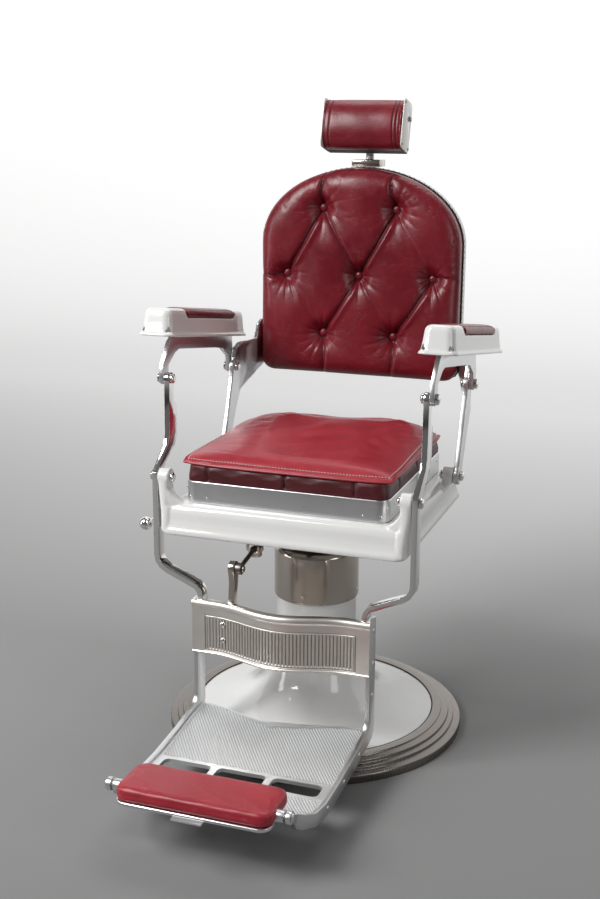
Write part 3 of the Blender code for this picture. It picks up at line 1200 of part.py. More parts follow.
def arm_bracket_outline():
    """Inverted U from the front pivot over to the rear pivot, its web set up into the armrest's hollow."""
    ceiling = ARM_HEIGHT - ARM_SADDLE_DEPTH - ARM_WALL - GAP
    def under(along, drop):
        _, y, z = arm_point(1, 0.0, along, -drop)
        return (y, z)

    front_y, front_z = ARM_FRONT
    rear_y, rear_z = ARM_REAR
    outline = [under(0.070, -ceiling), under(0.070, GAP), under(0.055, 0.012), (front_y - 0.012, front_z + 0.030)]
    outline += arc((front_y, front_z), 0.0135, 165, 345, 9)
    outline += [(front_y + 0.014, front_z + 0.026), under(0.085, 0.034), under(0.105, 0.027), under(0.300, 0.027),
                under(0.345, 0.029), (rear_y - 0.013, rear_z + 0.026)]
    outline += arc((rear_y, rear_z), 0.0135, 195, 360, 9)
    outline += [(rear_y + 0.015, rear_z + 0.030), under(0.402, 0.020), under(0.398, GAP), under(0.398, -ceiling)]
    return outline


# ---------------------------------------------------------------- moving groups
GROUPS = (
    ("lift_axis", (0.0, 0.0, 0.0), None, ("ram_piston", "hydraulic_ram", "swivel_bearing")),
    ("seat_axis", (0.0, 0.0, 0.0), "lift_axis", (
        "seat_frame", "seat_spider", "seat_band", "seat_board", "seat_cushion", "seat_pad", "pump_body",
        "lock_bracket", "front_ear_bolt_left", "front_ear_bolt_right", "rear_ear_bolt_left",
        "rear_ear_bolt_right")),
    ("control_lever_axis", (0.0, *ROCKER), "seat_axis", ("rocker_shaft", "control_lever")),
    ("back_axis", (0.0, *REAR_EAR), "seat_axis", (
        "back_shell", "back_board", "back_cushion", "back_bracket_left", "back_bracket_right", "post_guide",
        "arm_rear_bolt_left", "arm_rear_bolt_right")),
    ("headrest_lock_axis", (0.0, POST_Y, 1.130), "back_axis", ("headrest_lock_knob",)),
    ("headrest_post_axis", (0.0, POST_Y, POST_BOTTOM), "back_axis", ("headrest_post", "headrest_pin")),
    ("headrest_axis", (0.0, POST_Y, HEADREST_PIVOT_Z), "headrest_post_axis", (
        "headrest_case", "headrest_pad", "headrest_end_left", "headrest_end_right")),
    ("arm_left_axis", (0.0, *ARM_REAR), "back_axis", ("armrest_left", "arm_pad_left", "arm_bracket_left")),
    ("arm_right_axis", (0.0, *ARM_REAR), "back_axis", ("armrest_right", "arm_pad_right", "arm_bracket_right")),
    ("legrest_axis", (0.0, *FRONT_EAR), "seat_axis", (
        "lever_strap_left", "lever_strap_right", "side_strap_left", "side_strap_right", "legrest_apron",
        "footplate", "lock_lug", "arm_front_bolt_left", "arm_front_bolt_right")),
    ("footpad_axis", (0.0, *FOOTPAD_AXIS), "legrest_axis", ("footpad_tray", "footpad_cushion")),
    ("lock_rod_axis", (LOCK_X, *LOCK_PIN), "legrest_axis", ("lock_rod",)),
    ("lock_clamp_axis", (LOCK_X, *LOCK_PIVOT), "seat_axis", ("lock_clamp",)))


def make_groups():
    """Hang each moving piece on an empty that stands on its joint's axis."""
    bpy.context.view_layer.update()
    for name, where, parent, members in GROUPS:
        axis = bpy.data.objects.new(name, None)
        PARTS.objects.link(axis)
        axis.location = where
        if parent is not None:
            above = bpy.data.objects[parent]
            axis.parent = above
            axis.matrix_parent_inverse = above.matrix_world.inverted()
        bpy.context.view_layer.update()
        for member in members:
            piece = bpy.data.objects[member]
            world = piece.matrix_world.copy()
            piece.parent = axis
            piece.matrix_parent_inverse = axis.matrix_world.inverted()
            piece.matrix_world = world


# ---------------------------------------------------------------- build
piston_bottom_z = make_pedestal()
ram_top_z = make_lift(piston_bottom_z)
make_seat_frame()
make_seat(ram_top_z)
make_seat_cushions()
make_pivots()
make_control_lever()
make_recline_lock()
make_legrest()
make_footpad()
make_back_shell()
make_back_cushion()
make_back_brackets()
make_headrest_post()
make_headrest()
make_arms()
make_groups()
bpy.context.view_layer.update()
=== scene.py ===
"""Hydraulic barber chair: upholstery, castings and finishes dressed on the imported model.

Metres, +Z up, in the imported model's own frame: the pedestal stands on the origin, the sitter faces -Y
and the sitter's left is +X.
"""
import math
import random

import bmesh
import bpy
from mathutils import Matrix, Vector
from mathutils.bvhtree import BVHTree


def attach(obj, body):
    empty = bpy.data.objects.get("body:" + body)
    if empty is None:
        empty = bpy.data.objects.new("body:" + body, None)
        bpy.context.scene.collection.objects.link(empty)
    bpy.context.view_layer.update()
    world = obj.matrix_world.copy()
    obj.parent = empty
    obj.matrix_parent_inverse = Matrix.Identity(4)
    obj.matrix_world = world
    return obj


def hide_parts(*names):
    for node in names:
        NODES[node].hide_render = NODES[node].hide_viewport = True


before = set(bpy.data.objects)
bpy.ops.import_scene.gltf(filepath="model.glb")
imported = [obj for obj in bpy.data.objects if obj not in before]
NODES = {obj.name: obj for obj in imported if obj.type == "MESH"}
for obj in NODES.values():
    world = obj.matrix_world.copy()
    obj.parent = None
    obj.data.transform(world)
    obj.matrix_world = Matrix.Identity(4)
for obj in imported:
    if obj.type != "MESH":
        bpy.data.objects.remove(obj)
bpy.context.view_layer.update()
SIDES = (("left", 1), ("right", -1))
chance = random.Random(7)
scene = bpy.context.scene

# ---- driving dimensions (metres) ----
RING_INNER, RING_OUTER = 0.2663, 0.330
COLUMN_RADIUS, COLUMN_TOP = 0.0895, 0.400
COLLAR_RADIUS, COLLAR_BOTTOM, COLLAR_TOP = 0.094, 0.301, 0.420

FRAME_HALF, FRAME_FRONT, FRAME_REAR, FRAME_BOTTOM = 0.2660, -0.2490, 0.2525, 0.481
FRAME_CORNER, DECK_TOP, DECK_THICKNESS = 0.022, 0.5478, 0.0078
FRONT_EAR, REAR_EAR = (-0.219, 0.600), (0.138, 0.562)
EAR_OUTER, EAR_THICKNESS, EAR_RADIUS = 0.2735, 0.024, 0.0185
BAND_HALF, BAND_FRONT, BAND_REAR, BAND_TOP, BAND_CORNER = 0.2215, -0.2165, 0.2295, 0.595, 0.026
BAND_WALL = 0.0025
BOX_BOTTOM, BOX_TOP, BOX_GAP = 0.5563, 0.633, 0.0029
PAD_HALF, PAD_FRONT, PAD_REAR, PAD_CROWN = 0.2365, -0.2135, 0.195, 0.684
PAD_EDGE, PAD_FLANK, PAD_FOOT = 0.006, 0.045, BOX_TOP + 0.0004
PAD_MIDDLE, PAD_HALF_DEPTH = (PAD_FRONT + PAD_REAR) / 2, (PAD_REAR - PAD_FRONT) / 2

STRAP_X, STRAP_THICKNESS = 0.1875, 0.009
APRON_FRONT, APRON_TOP, APRON_BOTTOM, APRON_THICKNESS = -0.2353, 0.343, 0.2235, 0.006
TREAD_REAR, TREAD_FRONT, TREAD_THICKNESS = -0.216, -0.580, 0.008
SLOT_REAR, SLOT_FRONT, SLOT_WIDTH, SLOT_BAR = -0.440, -0.484, 0.103, 0.014
TRAY_FRONT, TRAY_REAR, TRAY_TOP = -0.700, -0.590, 0.122
FOOT_HALF, FOOT_HEIGHT = 0.1535, 0.025

BACK_HALF, BACK_BOTTOM, BACK_SPRING, BACK_TOP, BACK_CORNER = 0.236, 0.744, 1.047, 1.217, 0.028
BACK_CROWN, BACK_JOIN, BACK_REAR = 0.248, 0.315, 0.345
BUTTONS = ((-0.087, 1.128), (0.087, 1.128), (-0.175, 0.975), (0.0, 0.975), (0.175, 0.975),
           (-0.085, 0.838), (0.085, 0.838))

HEADREST_CENTRE, HEADREST_TILT = (0.316, 1.313), math.radians(15.0)
HEADREST_HALF, HEADREST_REACH, HEADREST_BULGE = 0.0925, 0.056, 0.037

ARM_START, ARM_SLOPE, ARM_X, ARM_SPLAY = (-0.185, 0.8895), math.radians(8.7), 0.300, 0.018
ARM_LENGTH, ARM_HALF, ARM_HEIGHT = 0.455, 0.0405, 0.059
SADDLE_START, SADDLE_END, SADDLE_DEPTH = 0.098, 0.385, 0.019
LEVER_BALL, BALL_RADIUS, LEVER_HUB, ROCKER = Vector((-0.335, -0.170, 0.474)), 0.0145, -0.2925, (0.095, 0.465)


# ---- shader sums ----
def feed(tree, socket, value):
    """Link a signal to a socket, or set the socket's own value."""
    if isinstance(value, Signal):
        tree.links.new(value.socket, socket)
    elif socket.type == "RGBA" and len(value) == 3:
        socket.default_value = (*value, 1.0)
    else:
        socket.default_value = value


class Signal:
    """A node's output that takes part in Python sums, each of which adds a Math node."""

    def __init__(self, tree, socket):
        self.tree = tree
        self.socket = socket

    def sum(self, operation, *values):
        node = self.tree.nodes.new("ShaderNodeMath")
        node.operation = operation
        for socket, value in zip(node.inputs, values):
            feed(self.tree, socket, value)
        return Signal(self.tree, node.outputs[0])

    def __add__(self, other):
        return self.sum("ADD", self, other)

    def __radd__(self, other):
        return self.sum("ADD", other, self)

    def __sub__(self, other):
        return self.sum("SUBTRACT", self, other)

    def __rsub__(self, other):
        return self.sum("SUBTRACT", other, self)

    def __mul__(self, other):
        return self.sum("MULTIPLY", self, other)

    def __rmul__(self, other):
        return self.sum("MULTIPLY", other, self)

    def __pow__(self, other):
        return self.sum("POWER", self, other)

    def __abs__(self):
        return self.sum("ABSOLUTE", self)


class Finish:
    """A material being made: its Principled shader and the nodes that feed it."""

    def __init__(self, name, **constants):
        self.material = bpy.data.materials.new(name)
        self.material.use_nodes = True
        self.tree = self.material.node_tree
        self.shader = self.tree.nodes["Principled BSDF"]
        self.place = self.node("TexCoord", output="Object")
        for socket, value in constants.items():
            self.to(socket.replace("_", " "), value)

    def to(self, socket, value):
        feed(self.tree, self.shader.inputs[socket], value)

    def node(self, kind, settings=None, sockets=None, output=0):
        made = self.tree.nodes.new("ShaderNode" + kind)
        for key, value in (settings or {}).items():
            setattr(made, key, value)
        for key, value in (sockets or {}).items():
            feed(self.tree, made.inputs[key], value)
        return Signal(self.tree, made.outputs[output])

    def noise(self, scale, detail=4.0, rough=0.55, warp=0.0, stretch=None):
        """Cloudy noise from 0 to 1, drawn out along an axis where stretch is below 1."""
        place = self.place
        if stretch:
            place = self.node("Mapping", {}, {"Vector": self.place, "Scale": stretch})
        return self.node("TexNoise", {}, {"Vector": place, "Scale": scale, "Detail": detail,
                                          "Roughness": rough, "Distortion": warp})

    def cells(self, scale, feature="F1"):
        return self.node("TexVoronoi", {"feature": feature}, {"Vector": self.place, "Scale": scale})

    def band(self, signal, low, high, start=0.0, end=1.0):
        """Straight ramp of a signal between two of its values, held level beyond them."""
        return self.node("MapRange", {"clamp": True}, {"Value": signal, "From Min": low, "From Max": high,
                                                       "To Min": start, "To Max": end})

    def tint(self, share, colour, other):
        """Colour that turns into another as the share goes from 0 to 1."""
        return self.node("Mix", {"data_type": "RGBA"}, {"Factor": share, 6: colour, 7: other}, output=2)

    def relief(self, height, distance, strength=1.0, under=None):
        sockets = {"Height": height, "Distance": distance, "Strength": strength}
        if under:
            sockets["Normal"] = under
        return self.node("Bump", {}, sockets)


# ---- finishes ----
def scaled(colour, share):
    return tuple(share * part for part in colour)


def leather(name, deep, bright, worn, shine=0.34):
    """Old red hide: mottled and grained, fine pale creases, and painted shade that darkens it where it folds
    in.
    """
    finish = Finish(name, Coat_Weight=0.16, Coat_Roughness=0.22, Specular_IOR_Level=0.42)
    painted_fold_shade = finish.node("Attribute", {"attribute_name": "crease"}, output=2)
    cloud = finish.noise(6.0, 5.0, 0.6)
    mottle = finish.noise(34.0, 6.0, 0.65, 0.4)
    colour = finish.tint(finish.band(cloud * 0.7 + mottle * 0.3, 0.36, 0.66), deep, bright)
    creases = finish.noise(14.0, 8.0, 0.6, 0.9)
    line = finish.band(abs(creases - 0.5), 0.0, 0.012, 1.0, 0.0) * finish.band(cloud, 0.42, 0.58)
    rubs = finish.noise(9.0, 6.0, 0.5, 0.5, (0.5, 0.5, 4.0))
    scratch = finish.band(abs(rubs - 0.50), 0.0, 0.005, 1.0, 0.0) * finish.band(mottle, 0.48, 0.60)
    colour = finish.tint(line * 0.30, colour, scaled(deep, 0.50))
    colour = finish.tint(scratch * worn, colour, (0.50, 0.20, 0.21))
    # painted shade: where a piece marks its folds, seams and button pits, the hide turns towards a dark copy
    # of its deep tone
    colour = finish.tint(finish.band(painted_fold_shade, 0.05, 0.9), colour, scaled(deep, 0.16))
    finish.to("Base Color", colour)
    finish.to("Roughness", finish.band(mottle * 0.6 + cloud * 0.4, 0.32, 0.68, shine - 0.05, shine + 0.10)
              + painted_fold_shade * 0.06)
    grain = finish.cells(560.0, "DISTANCE_TO_EDGE")
    crumple = finish.relief(finish.noise(48.0, 7.0, 0.6, 0.6), 0.0009, 0.45)
    lined = finish.relief(1.0 - line, 0.0005, 0.5, crumple)
    finish.to("Normal", finish.relief(grain, 0.00018, 0.35, lined))
    return finish.material


def porcelain(name, clean, stained, dirt):
    """Fired enamel on castings: glassy and faintly uneven, with stains and a few pinhead chips."""
    finish = Finish(name, Coat_Weight=0.5, Coat_Roughness=0.06, Specular_IOR_Level=0.5)
    stain = finish.band(finish.noise(4.0, 6.0, 0.6, 0.5), 0.46, 0.76)
    soot = finish.band(finish.noise(20.0, 8.0, 0.7, 0.8), 0.58, 0.82)
    colour = finish.tint(stain * 0.5, clean, stained)
    colour = finish.tint(soot * dirt, colour, (0.46, 0.40, 0.33))
    pits = finish.band(finish.cells(70.0), 0.008, 0.016, 1.0, 0.0)
    pits = pits * finish.band(finish.noise(9.0), 0.58, 0.62)
    colour = finish.tint(pits * 0.75, colour, (0.12, 0.095, 0.080))
    finish.to("Base Color", colour)
    finish.to("Roughness", 0.12 + soot * 0.14 + pits * 0.3)
    finish.to("Normal", finish.relief(finish.noise(16.0, 2.0, 0.4) - pits * 0.2, 0.0012, 0.16))
    return finish.material


def plated(name, bright, tarnish, low, high, spread, streak=(1.0, 1.0, 1.0), dirt=(0.055, 0.045, 0.036)):
    """Plated or polished metal: soft polish clouds, hairlines, a little tarnish, and dirt in its grooves."""
    finish = Finish(name, Metallic=1.0)
    grooved = finish.node("Attribute", {"attribute_name": "crease"}, output=2)
    cloud = finish.noise(9.0, 4.0, 0.55, 0.3)
    hair = finish.noise(260.0, 2.0, 0.5, 0.0, streak)
    patch = finish.band(finish.noise(26.0, 7.0, 0.66, 0.8), 0.66 - spread, 0.86 - spread)
    colour = finish.tint(cloud, scaled(bright, 0.90), bright)
    colour = finish.tint(patch * 0.75, colour, tarnish)
    finish.to("Base Color", finish.tint(grooved, colour, dirt))
    finish.to("Roughness", finish.band(cloud * 0.6 + hair * 0.4, 0.32, 0.68, low, high) + patch * 0.12
              + grooved * 0.35)
    finish.to("Normal", finish.relief(hair, 0.00004, 0.12))
    return finish.material


def cast_iron(name):
    finish = Finish(name, Specular_IOR_Level=0.4)
    lumps = finish.noise(130.0, 6.0, 0.65)
    rust = finish.band(finish.noise(18.0, 6.0), 0.35, 0.7)
    finish.to("Base Color", finish.tint(rust, (0.030, 0.029, 0.028), (0.095, 0.075, 0.058)))
    finish.to("Roughness", 0.52 + lumps * 0.22)
    finish.to("Normal", finish.relief(lumps, 0.0008, 0.5))
    return finish.material


def plywood(name):
    finish = Finish(name, Specular_IOR_Level=0.3)
    grain = finish.noise(26.0, 7.0, 0.6, 0.5, (0.12, 1.0, 1.0))
    rings = finish.band(grain, 0.35, 0.65)
    finish.to("Base Color", finish.tint(rings, (0.36, 0.23, 0.12), (0.56, 0.40, 0.24)))
    finish.to("Roughness", 0.62 + grain * 0.15)
    finish.to("Normal", finish.relief(grain, 0.0006, 0.4))
    return finish.material


def rubber(name, tone):
    finish = Finish(name, Specular_IOR_Level=0.35)
    dust = finish.noise(90.0, 6.0, 0.7)
    finish.to("Base Color", finish.tint(finish.band(dust, 0.4, 0.75), tone, scaled(tone, 2.4)))
    finish.to("Roughness", 0.55 + dust * 0.25)
    finish.to("Normal", finish.relief(dust, 0.0004, 0.4))
    return finish.material


def thread(name, tone):
    finish = Finish(name, Specular_IOR_Level=0.3)
    twist = finish.noise(600.0, 2.0, 0.5)
    finish.to("Base Color", finish.tint(twist, scaled(tone, 0.6), tone))
    finish.to("Roughness", 0.55 + twist * 0.2)
    finish.to("Normal", finish.relief(twist, 0.0002, 0.5))
    return finish.material


RED = leather("red_hide", (0.125, 0.0035, 0.0095), (0.215, 0.0080, 0.0180), 0.20)
# painted light: a brighter copy of the red hide for the seat pad, its piping and the foot cushion, standing
# in for the sheen their upward faces catch
LIT_SEAT_RED = leather("lit_seat_hide", (0.285, 0.0120, 0.0230), (0.410, 0.0240, 0.0400), 0.30, 0.37)
# painted shade: a much darker copy of the red hide for the box cushion, which sits in shade under the seat
# pad's overhang
SHADED_BOX_RED = leather("shaded_box_hide", (0.050, 0.0026, 0.0052), (0.086, 0.0048, 0.0088), 0.06, 0.46)
ENAMEL = porcelain("white_porcelain", (0.80, 0.80, 0.785), (0.745, 0.730, 0.690), 0.15)
PLATE = porcelain("cream_plate", (0.74, 0.725, 0.68), (0.62, 0.59, 0.52), 0.45)
CHROME = plated("old_chrome", (0.84, 0.83, 0.82), (0.20, 0.12, 0.075), 0.06, 0.16, 0.05)
LEVEL_POLISH, TURNED_POLISH = (0.06, 0.06, 1.0), (1.0, 1.0, 0.04)
ALUMINIUM = plated("polished_aluminium", (0.78, 0.78, 0.79), (0.60, 0.58, 0.56), 0.27, 0.35, 0.0,
                   LEVEL_POLISH)
APRON_METAL = plated("warm_aluminium", (0.88, 0.835, 0.785), (0.60, 0.54, 0.48), 0.36, 0.48, 0.02,
                     LEVEL_POLISH)
TREAD_METAL = plated("tread_aluminium", (0.94, 0.95, 0.96), (0.78, 0.78, 0.78), 0.36, 0.50, 0.02)
# painted shade: a darkened copy of the polished aluminium for the base ring, standing in for the dark floor
# and room it reflects
SHADED_RING_METAL = plated("shaded_ring_aluminium", (0.235, 0.213, 0.195), (0.15, 0.13, 0.115), 0.22, 0.34, 0.06)
NICKEL = plated("dull_nickel", (0.56, 0.50, 0.445), (0.40, 0.34, 0.29), 0.14, 0.22, 0.0, TURNED_POLISH)
STEEL = plated("machined_steel", (0.56, 0.56, 0.57), (0.24, 0.18, 0.14), 0.22, 0.36, 0.03)
DARK_STEEL = plated("oiled_steel", (0.24, 0.21, 0.19), (0.13, 0.095, 0.07), 0.30, 0.45, 0.05)
IRON = cast_iron("black_casting")
WOOD = plywood("plywood")
BLACK = rubber("black_rubber", (0.012, 0.012, 0.013))
THREAD = thread("pale_red_thread", (0.84, 0.60, 0.60))
DARK_THREAD = thread("dark_red_thread", (0.07, 0.007, 0.012))


# ---- modelling helpers ----
def fit(piece, body, slot, *replaced):
    """Give a finished piece its place on a body and hide the nodes that it stands for; the slot is not used.
    """
    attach(piece, body)
    if replaced:
        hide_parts(*replaced)
    return piece


def shade(mesh, angle=35.0):
    mesh.shade_smooth()
    mesh.set_sharp_from_angle(angle=math.radians(angle))


def from_bmesh(name, bm, finish, angle=35.0):
    bmesh.ops.recalc_face_normals(bm, faces=bm.faces)
    mesh = bpy.data.meshes.new(name)
    bm.to_mesh(mesh)
    bm.free()
    shade(mesh, angle)
    mesh.materials.append(finish)
    piece = bpy.data.objects.new(name, mesh)
    scene.collection.objects.link(piece)
    return piece


def add_skin(bm, rings, closed=False, caps=True):
    """Skin rings of equal point counts into a bmesh; a closed skin joins its last ring to its first."""
    loops = [[bm.verts.new(point) for point in ring] for ring in rings]
    pairs = list(zip(loops, loops[1:]))
    if closed:
        pairs.append((loops[-1], loops[0]))
    count = len(rings[0])
    for lower, upper in pairs:
        for i in range(count):
            j = (i + 1) % count
            bm.faces.new((lower[i], lower[j], upper[j], upper[i]))
    if caps and not closed:
        bm.faces.new(loops[0])
        bm.faces.new(loops[-1])
    return bm


def skin(name, rings, finish, closed=False, angle=35.0):
    return from_bmesh(name, add_skin(bmesh.new(), rings, closed), finish, angle)


def soften(points, reach, steps=4, closed=False):
    """Round the corners of a line of points, each within reach of its corner."""
    made = []
    count = len(points)
    for i, point in enumerate(points):
        if not closed and i in (0, count - 1):
            made.append(tuple(point))
            continue
        corner = Vector(point)
        before = Vector(points[i - 1]) - corner
        after = Vector(points[(i + 1) % count]) - corner
        start = corner + before.normalized() * min(reach, before.length * 0.48)
        end = corner + after.normalized() * min(reach, after.length * 0.48)
        for n in range(steps + 1):
            share = n / steps
            made.append(tuple(start.lerp(corner, share).lerp(corner.lerp(end, share), share)))
    return made


def arc(centre, radius, start, end, count):
    return [(centre[0] + radius * math.cos(math.radians(start + (end - start) * i / (count - 1))),
             centre[1] + radius * math.sin(math.radians(start + (end - start) * i / (count - 1))))
            for i in range(count)]


def rounded_rectangle(low_a, high_a, low_b, high_b, radius, corner=10, span=None):
    """Outline from the low corner, anticlockwise; span also divides its straight sides."""
    points = arc((low_a + radius, low_b + radius), radius, 180, 270, corner)
    points += arc((high_a - radius, low_b + radius), radius, 270, 360, corner)
    points += arc((high_a - radius, high_b - radius), radius, 0, 90, corner)
    points += arc((low_a + radius, high_b - radius), radius, 90, 180, corner)
    if span is None:
        return points
    dense = []
    for (ax, ay), (bx, by) in zip(points, points[1:] + points[:1]):
        pieces = max(1, round(math.hypot(bx - ax, by - ay) / span))
        dense += [(ax + (bx - ax) * i / pieces, ay + (by - ay) * i / pieces) for i in range(pieces)]
    return dense


def level_rectangle(half, front, rear, inset, radius, corner=10, span=None):
    """Plan outline between two sides and two ends, drawn in all round by an inset."""
    return rounded_rectangle(-half + inset, half - inset, front + inset, rear - inset, radius, corner, span)


def add_lathe(bm, profile, steps, where=None):
    """Turn a closed (radius, height) profile about Z, then put it where the matrix says."""
    where = where or Matrix.Identity(4)
    rings = []
    for i in range(steps):
        angle = 2 * math.pi * i / steps
        rings.append([where @ Vector((r * math.cos(angle), r * math.sin(angle), z)) for r, z in profile])
    add_skin(bm, rings, closed=True)


def lathe(name, profile, finish, steps=96, where=None):
    bm = bmesh.new()
    add_lathe(bm, profile, steps, where)
    bmesh.ops.remove_doubles(bm, verts=bm.verts, dist=0.00001)
    return from_bmesh(name, bm, finish)


def pointing(where, direction):
    """Matrix that puts +Z along a direction at a place."""
    turn = Vector(direction).to_track_quat("Z", "Y").to_matrix().to_4x4()
    return Matrix.Translation(where) @ turn


def add_rod(bm, start, end, radius, steps=20):
    start = Vector(start)
    length = (Vector(end) - start).length
    bmesh.ops.create_cone(bm, cap_ends=True, segments=steps, radius1=radius, radius2=radius, depth=length,
                          matrix=pointing((start + Vector(end)) / 2, Vector(end) - start))


def add_dome(bm, where, direction, radius, height, slot=True, steps=16):
    """Round-headed screw or rivet standing on its place, with a block for a driver slot set across a screw's
    head.
    """
    profile = [(0.0, height)]
    profile += [(radius * math.sin(math.radians(a)), height * (0.25 + 0.75 * math.cos(math.radians(a))))
                for a in (25, 50, 72, 90)]
    profile += [(radius, -0.0006), (0.0, -0.0006)]
    add_lathe(bm, profile, steps, pointing(where, direction))
    if slot:
        matrix = pointing(Vector(where) + Vector(direction).normalized() * height * 0.80, direction)
        turn = Matrix.Rotation(chance.uniform(0, math.pi), 4, "Z")
        size = Matrix.Diagonal((radius * 1.7, radius * 0.22, height * 0.30, 1.0))
        bmesh.ops.create_cube(bm, size=1.0, matrix=matrix @ turn @ size)


def heads(name, finish, body, places, radius, height, slot=True, steps=16):
    """One piece of alike screw or rivet heads, each with its place and the way it faces."""
    bm = bmesh.new()
    for where, direction in places:
        add_dome(bm, where, direction, radius, height, slot, steps)
    kind = "chrome" if finish is CHROME else "machined_steel"
    fit(from_bmesh(name, bm, finish), body, kind)


def add_tube(bm, route, radius, steps=10, closed=False):
    """Round bead along a route of points."""
    rings = []
    count = len(route)
    for i, point in enumerate(route):
        before = route[i - 1] if closed or i else route[i]
        after = route[(i + 1) % count] if closed or i < count - 1 else route[i]
        tangent = (Vector(after) - Vector(before)).normalized()
        side = tangent.cross(Vector((0.31, 0.17, 0.93))).normalized()
        lift = side.cross(tangent)
        rings.append([Vector(point) + (side * math.cos(2 * math.pi * n / steps)
                                       + lift * math.sin(2 * math.pi * n / steps)) * radius
                      for n in range(steps)])
    add_skin(bm, rings, closed=closed)


def add_stitches(bm, route, pitch, length, radius):
    """Row of short raised stitches along a route of points on a surface."""
    travelled = 0.0
    following = pitch / 2
    for a, b in zip(route, route[1:]):
        a, b = Vector(a), Vector(b)
        span = (b - a).length
        while following <= travelled + span and span > 0.0:
            middle = a.lerp(b, (following - travelled) / span)
            matrix = pointing(middle, b - a) @ Matrix.Diagonal((radius, radius, length / 2, 1.0))
            bmesh.ops.create_uvsphere(bm, u_segments=6, v_segments=5, radius=1.0, matrix=matrix)
            following += pitch
        travelled += span


def smoothstep(value, low, high):
    share = min(max((value - low) / (high - low), 0.0), 1.0)
    return share * share * (3.0 - 2.0 * share)


def bump(x, half_width):
    return 0.5 * (1.0 + math.cos(math.pi * x / half_width)) if abs(x) < half_width else 0.0


def cutters(piece, *others):
    """Cut other objects out of a piece for good, and remove them."""
    for other in others:
        step = piece.modifiers.new("cut", "BOOLEAN")
        step.operation = "DIFFERENCE"
        step.solver = "EXACT"
        step.object = other
    settle(piece)
    for other in others:
        bpy.data.objects.remove(other, do_unlink=True)
    return piece


def settle(piece):
    """Turn a piece's modifiers into its mesh."""
    bpy.context.view_layer.update()
    mesh = bpy.data.meshes.new_from_object(piece.evaluated_get(bpy.context.evaluated_depsgraph_get()))
    piece.modifiers.clear()
    piece.data = mesh
    return piece


def cast(piece, voxel, rounds):
    """Run a casting's corners and joins together as poured metal does."""
    remesh = piece.modifiers.new("casting", "REMESH")
    remesh.mode = "VOXEL"
    remesh.voxel_size = voxel
    remesh.use_smooth_shade = True
    relax = piece.modifiers.new("run together", "SMOOTH")
    relax.factor = 0.5
    relax.iterations = rounds
    return piece


def surface_of(piece):
    """Tree of a piece's evaluated faces, for putting things on its surface."""
    bpy.context.view_layer.update()
    return BVHTree.FromObject(piece, bpy.context.evaluated_depsgraph_get())


# ---- carried-over solids ----
def smooth_group():
    """Modifier that shades smooth and keeps edges sharper than 35 degrees."""
    tree = bpy.data.node_groups.new("smooth_by_angle", "GeometryNodeTree")
    tree.interface.new_socket("Geometry", in_out="INPUT", socket_type="NodeSocketGeometry")
    tree.interface.new_socket("Geometry", in_out="OUTPUT", socket_type="NodeSocketGeometry")
    way_in = tree.nodes.new("NodeGroupInput")
    way_out = tree.nodes.new("NodeGroupOutput")
    plain = tree.nodes.new("GeometryNodeRemoveAttribute")
    plain.inputs["Name"].default_value = "custom_normal"
    faces = tree.nodes.new("GeometryNodeSetShadeSmooth")
    angle = tree.nodes.new("GeometryNodeInputMeshEdgeAngle")
    sharp = tree.nodes.new("FunctionNodeCompare")
    sharp.data_type = "FLOAT"
    sharp.operation = "GREATER_THAN"
    sharp.inputs[1].default_value = math.radians(35.0)
    edges = tree.nodes.new("GeometryNodeSetShadeSmooth")
    edges.domain = "EDGE"
    edges.inputs["Shade Smooth"].default_value = False
    tree.links.new(way_in.outputs[0], plain.inputs["Geometry"])
    tree.links.new(plain.outputs["Geometry"], faces.inputs["Geometry"])
    tree.links.new(faces.outputs["Geometry"], edges.inputs["Geometry"])
    tree.links.new(angle.outputs["Unsigned Angle"], sharp.inputs[0])
    tree.links.new(sharp.outputs[0], edges.inputs["Selection"])
    tree.links.new(edges.outputs["Geometry"], way_out.inputs[0])
    return tree


SMOOTH = smooth_group()


def dress(node, finish, edge=0.0, voxel=0.0, rounds=4):
    """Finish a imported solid: merged corners, eased edges or cast softness, and its own material."""
    solid = NODES[node]
    weld = solid.modifiers.new("weld", "WELD")
    weld.merge_threshold = 0.00003
    if voxel:
        cast(solid, voxel, rounds)
    elif edge:
        ease = solid.modifiers.new("eased edges", "BEVEL")
        ease.width = edge
        ease.segments = 3
        ease.limit_method = "ANGLE"
        ease.angle_limit = math.radians(38.0)
    step = solid.modifiers.new("smooth", "NODES")
    step.node_group = SMOOTH
    solid.data.materials.clear()
    solid.data.materials.append(finish)


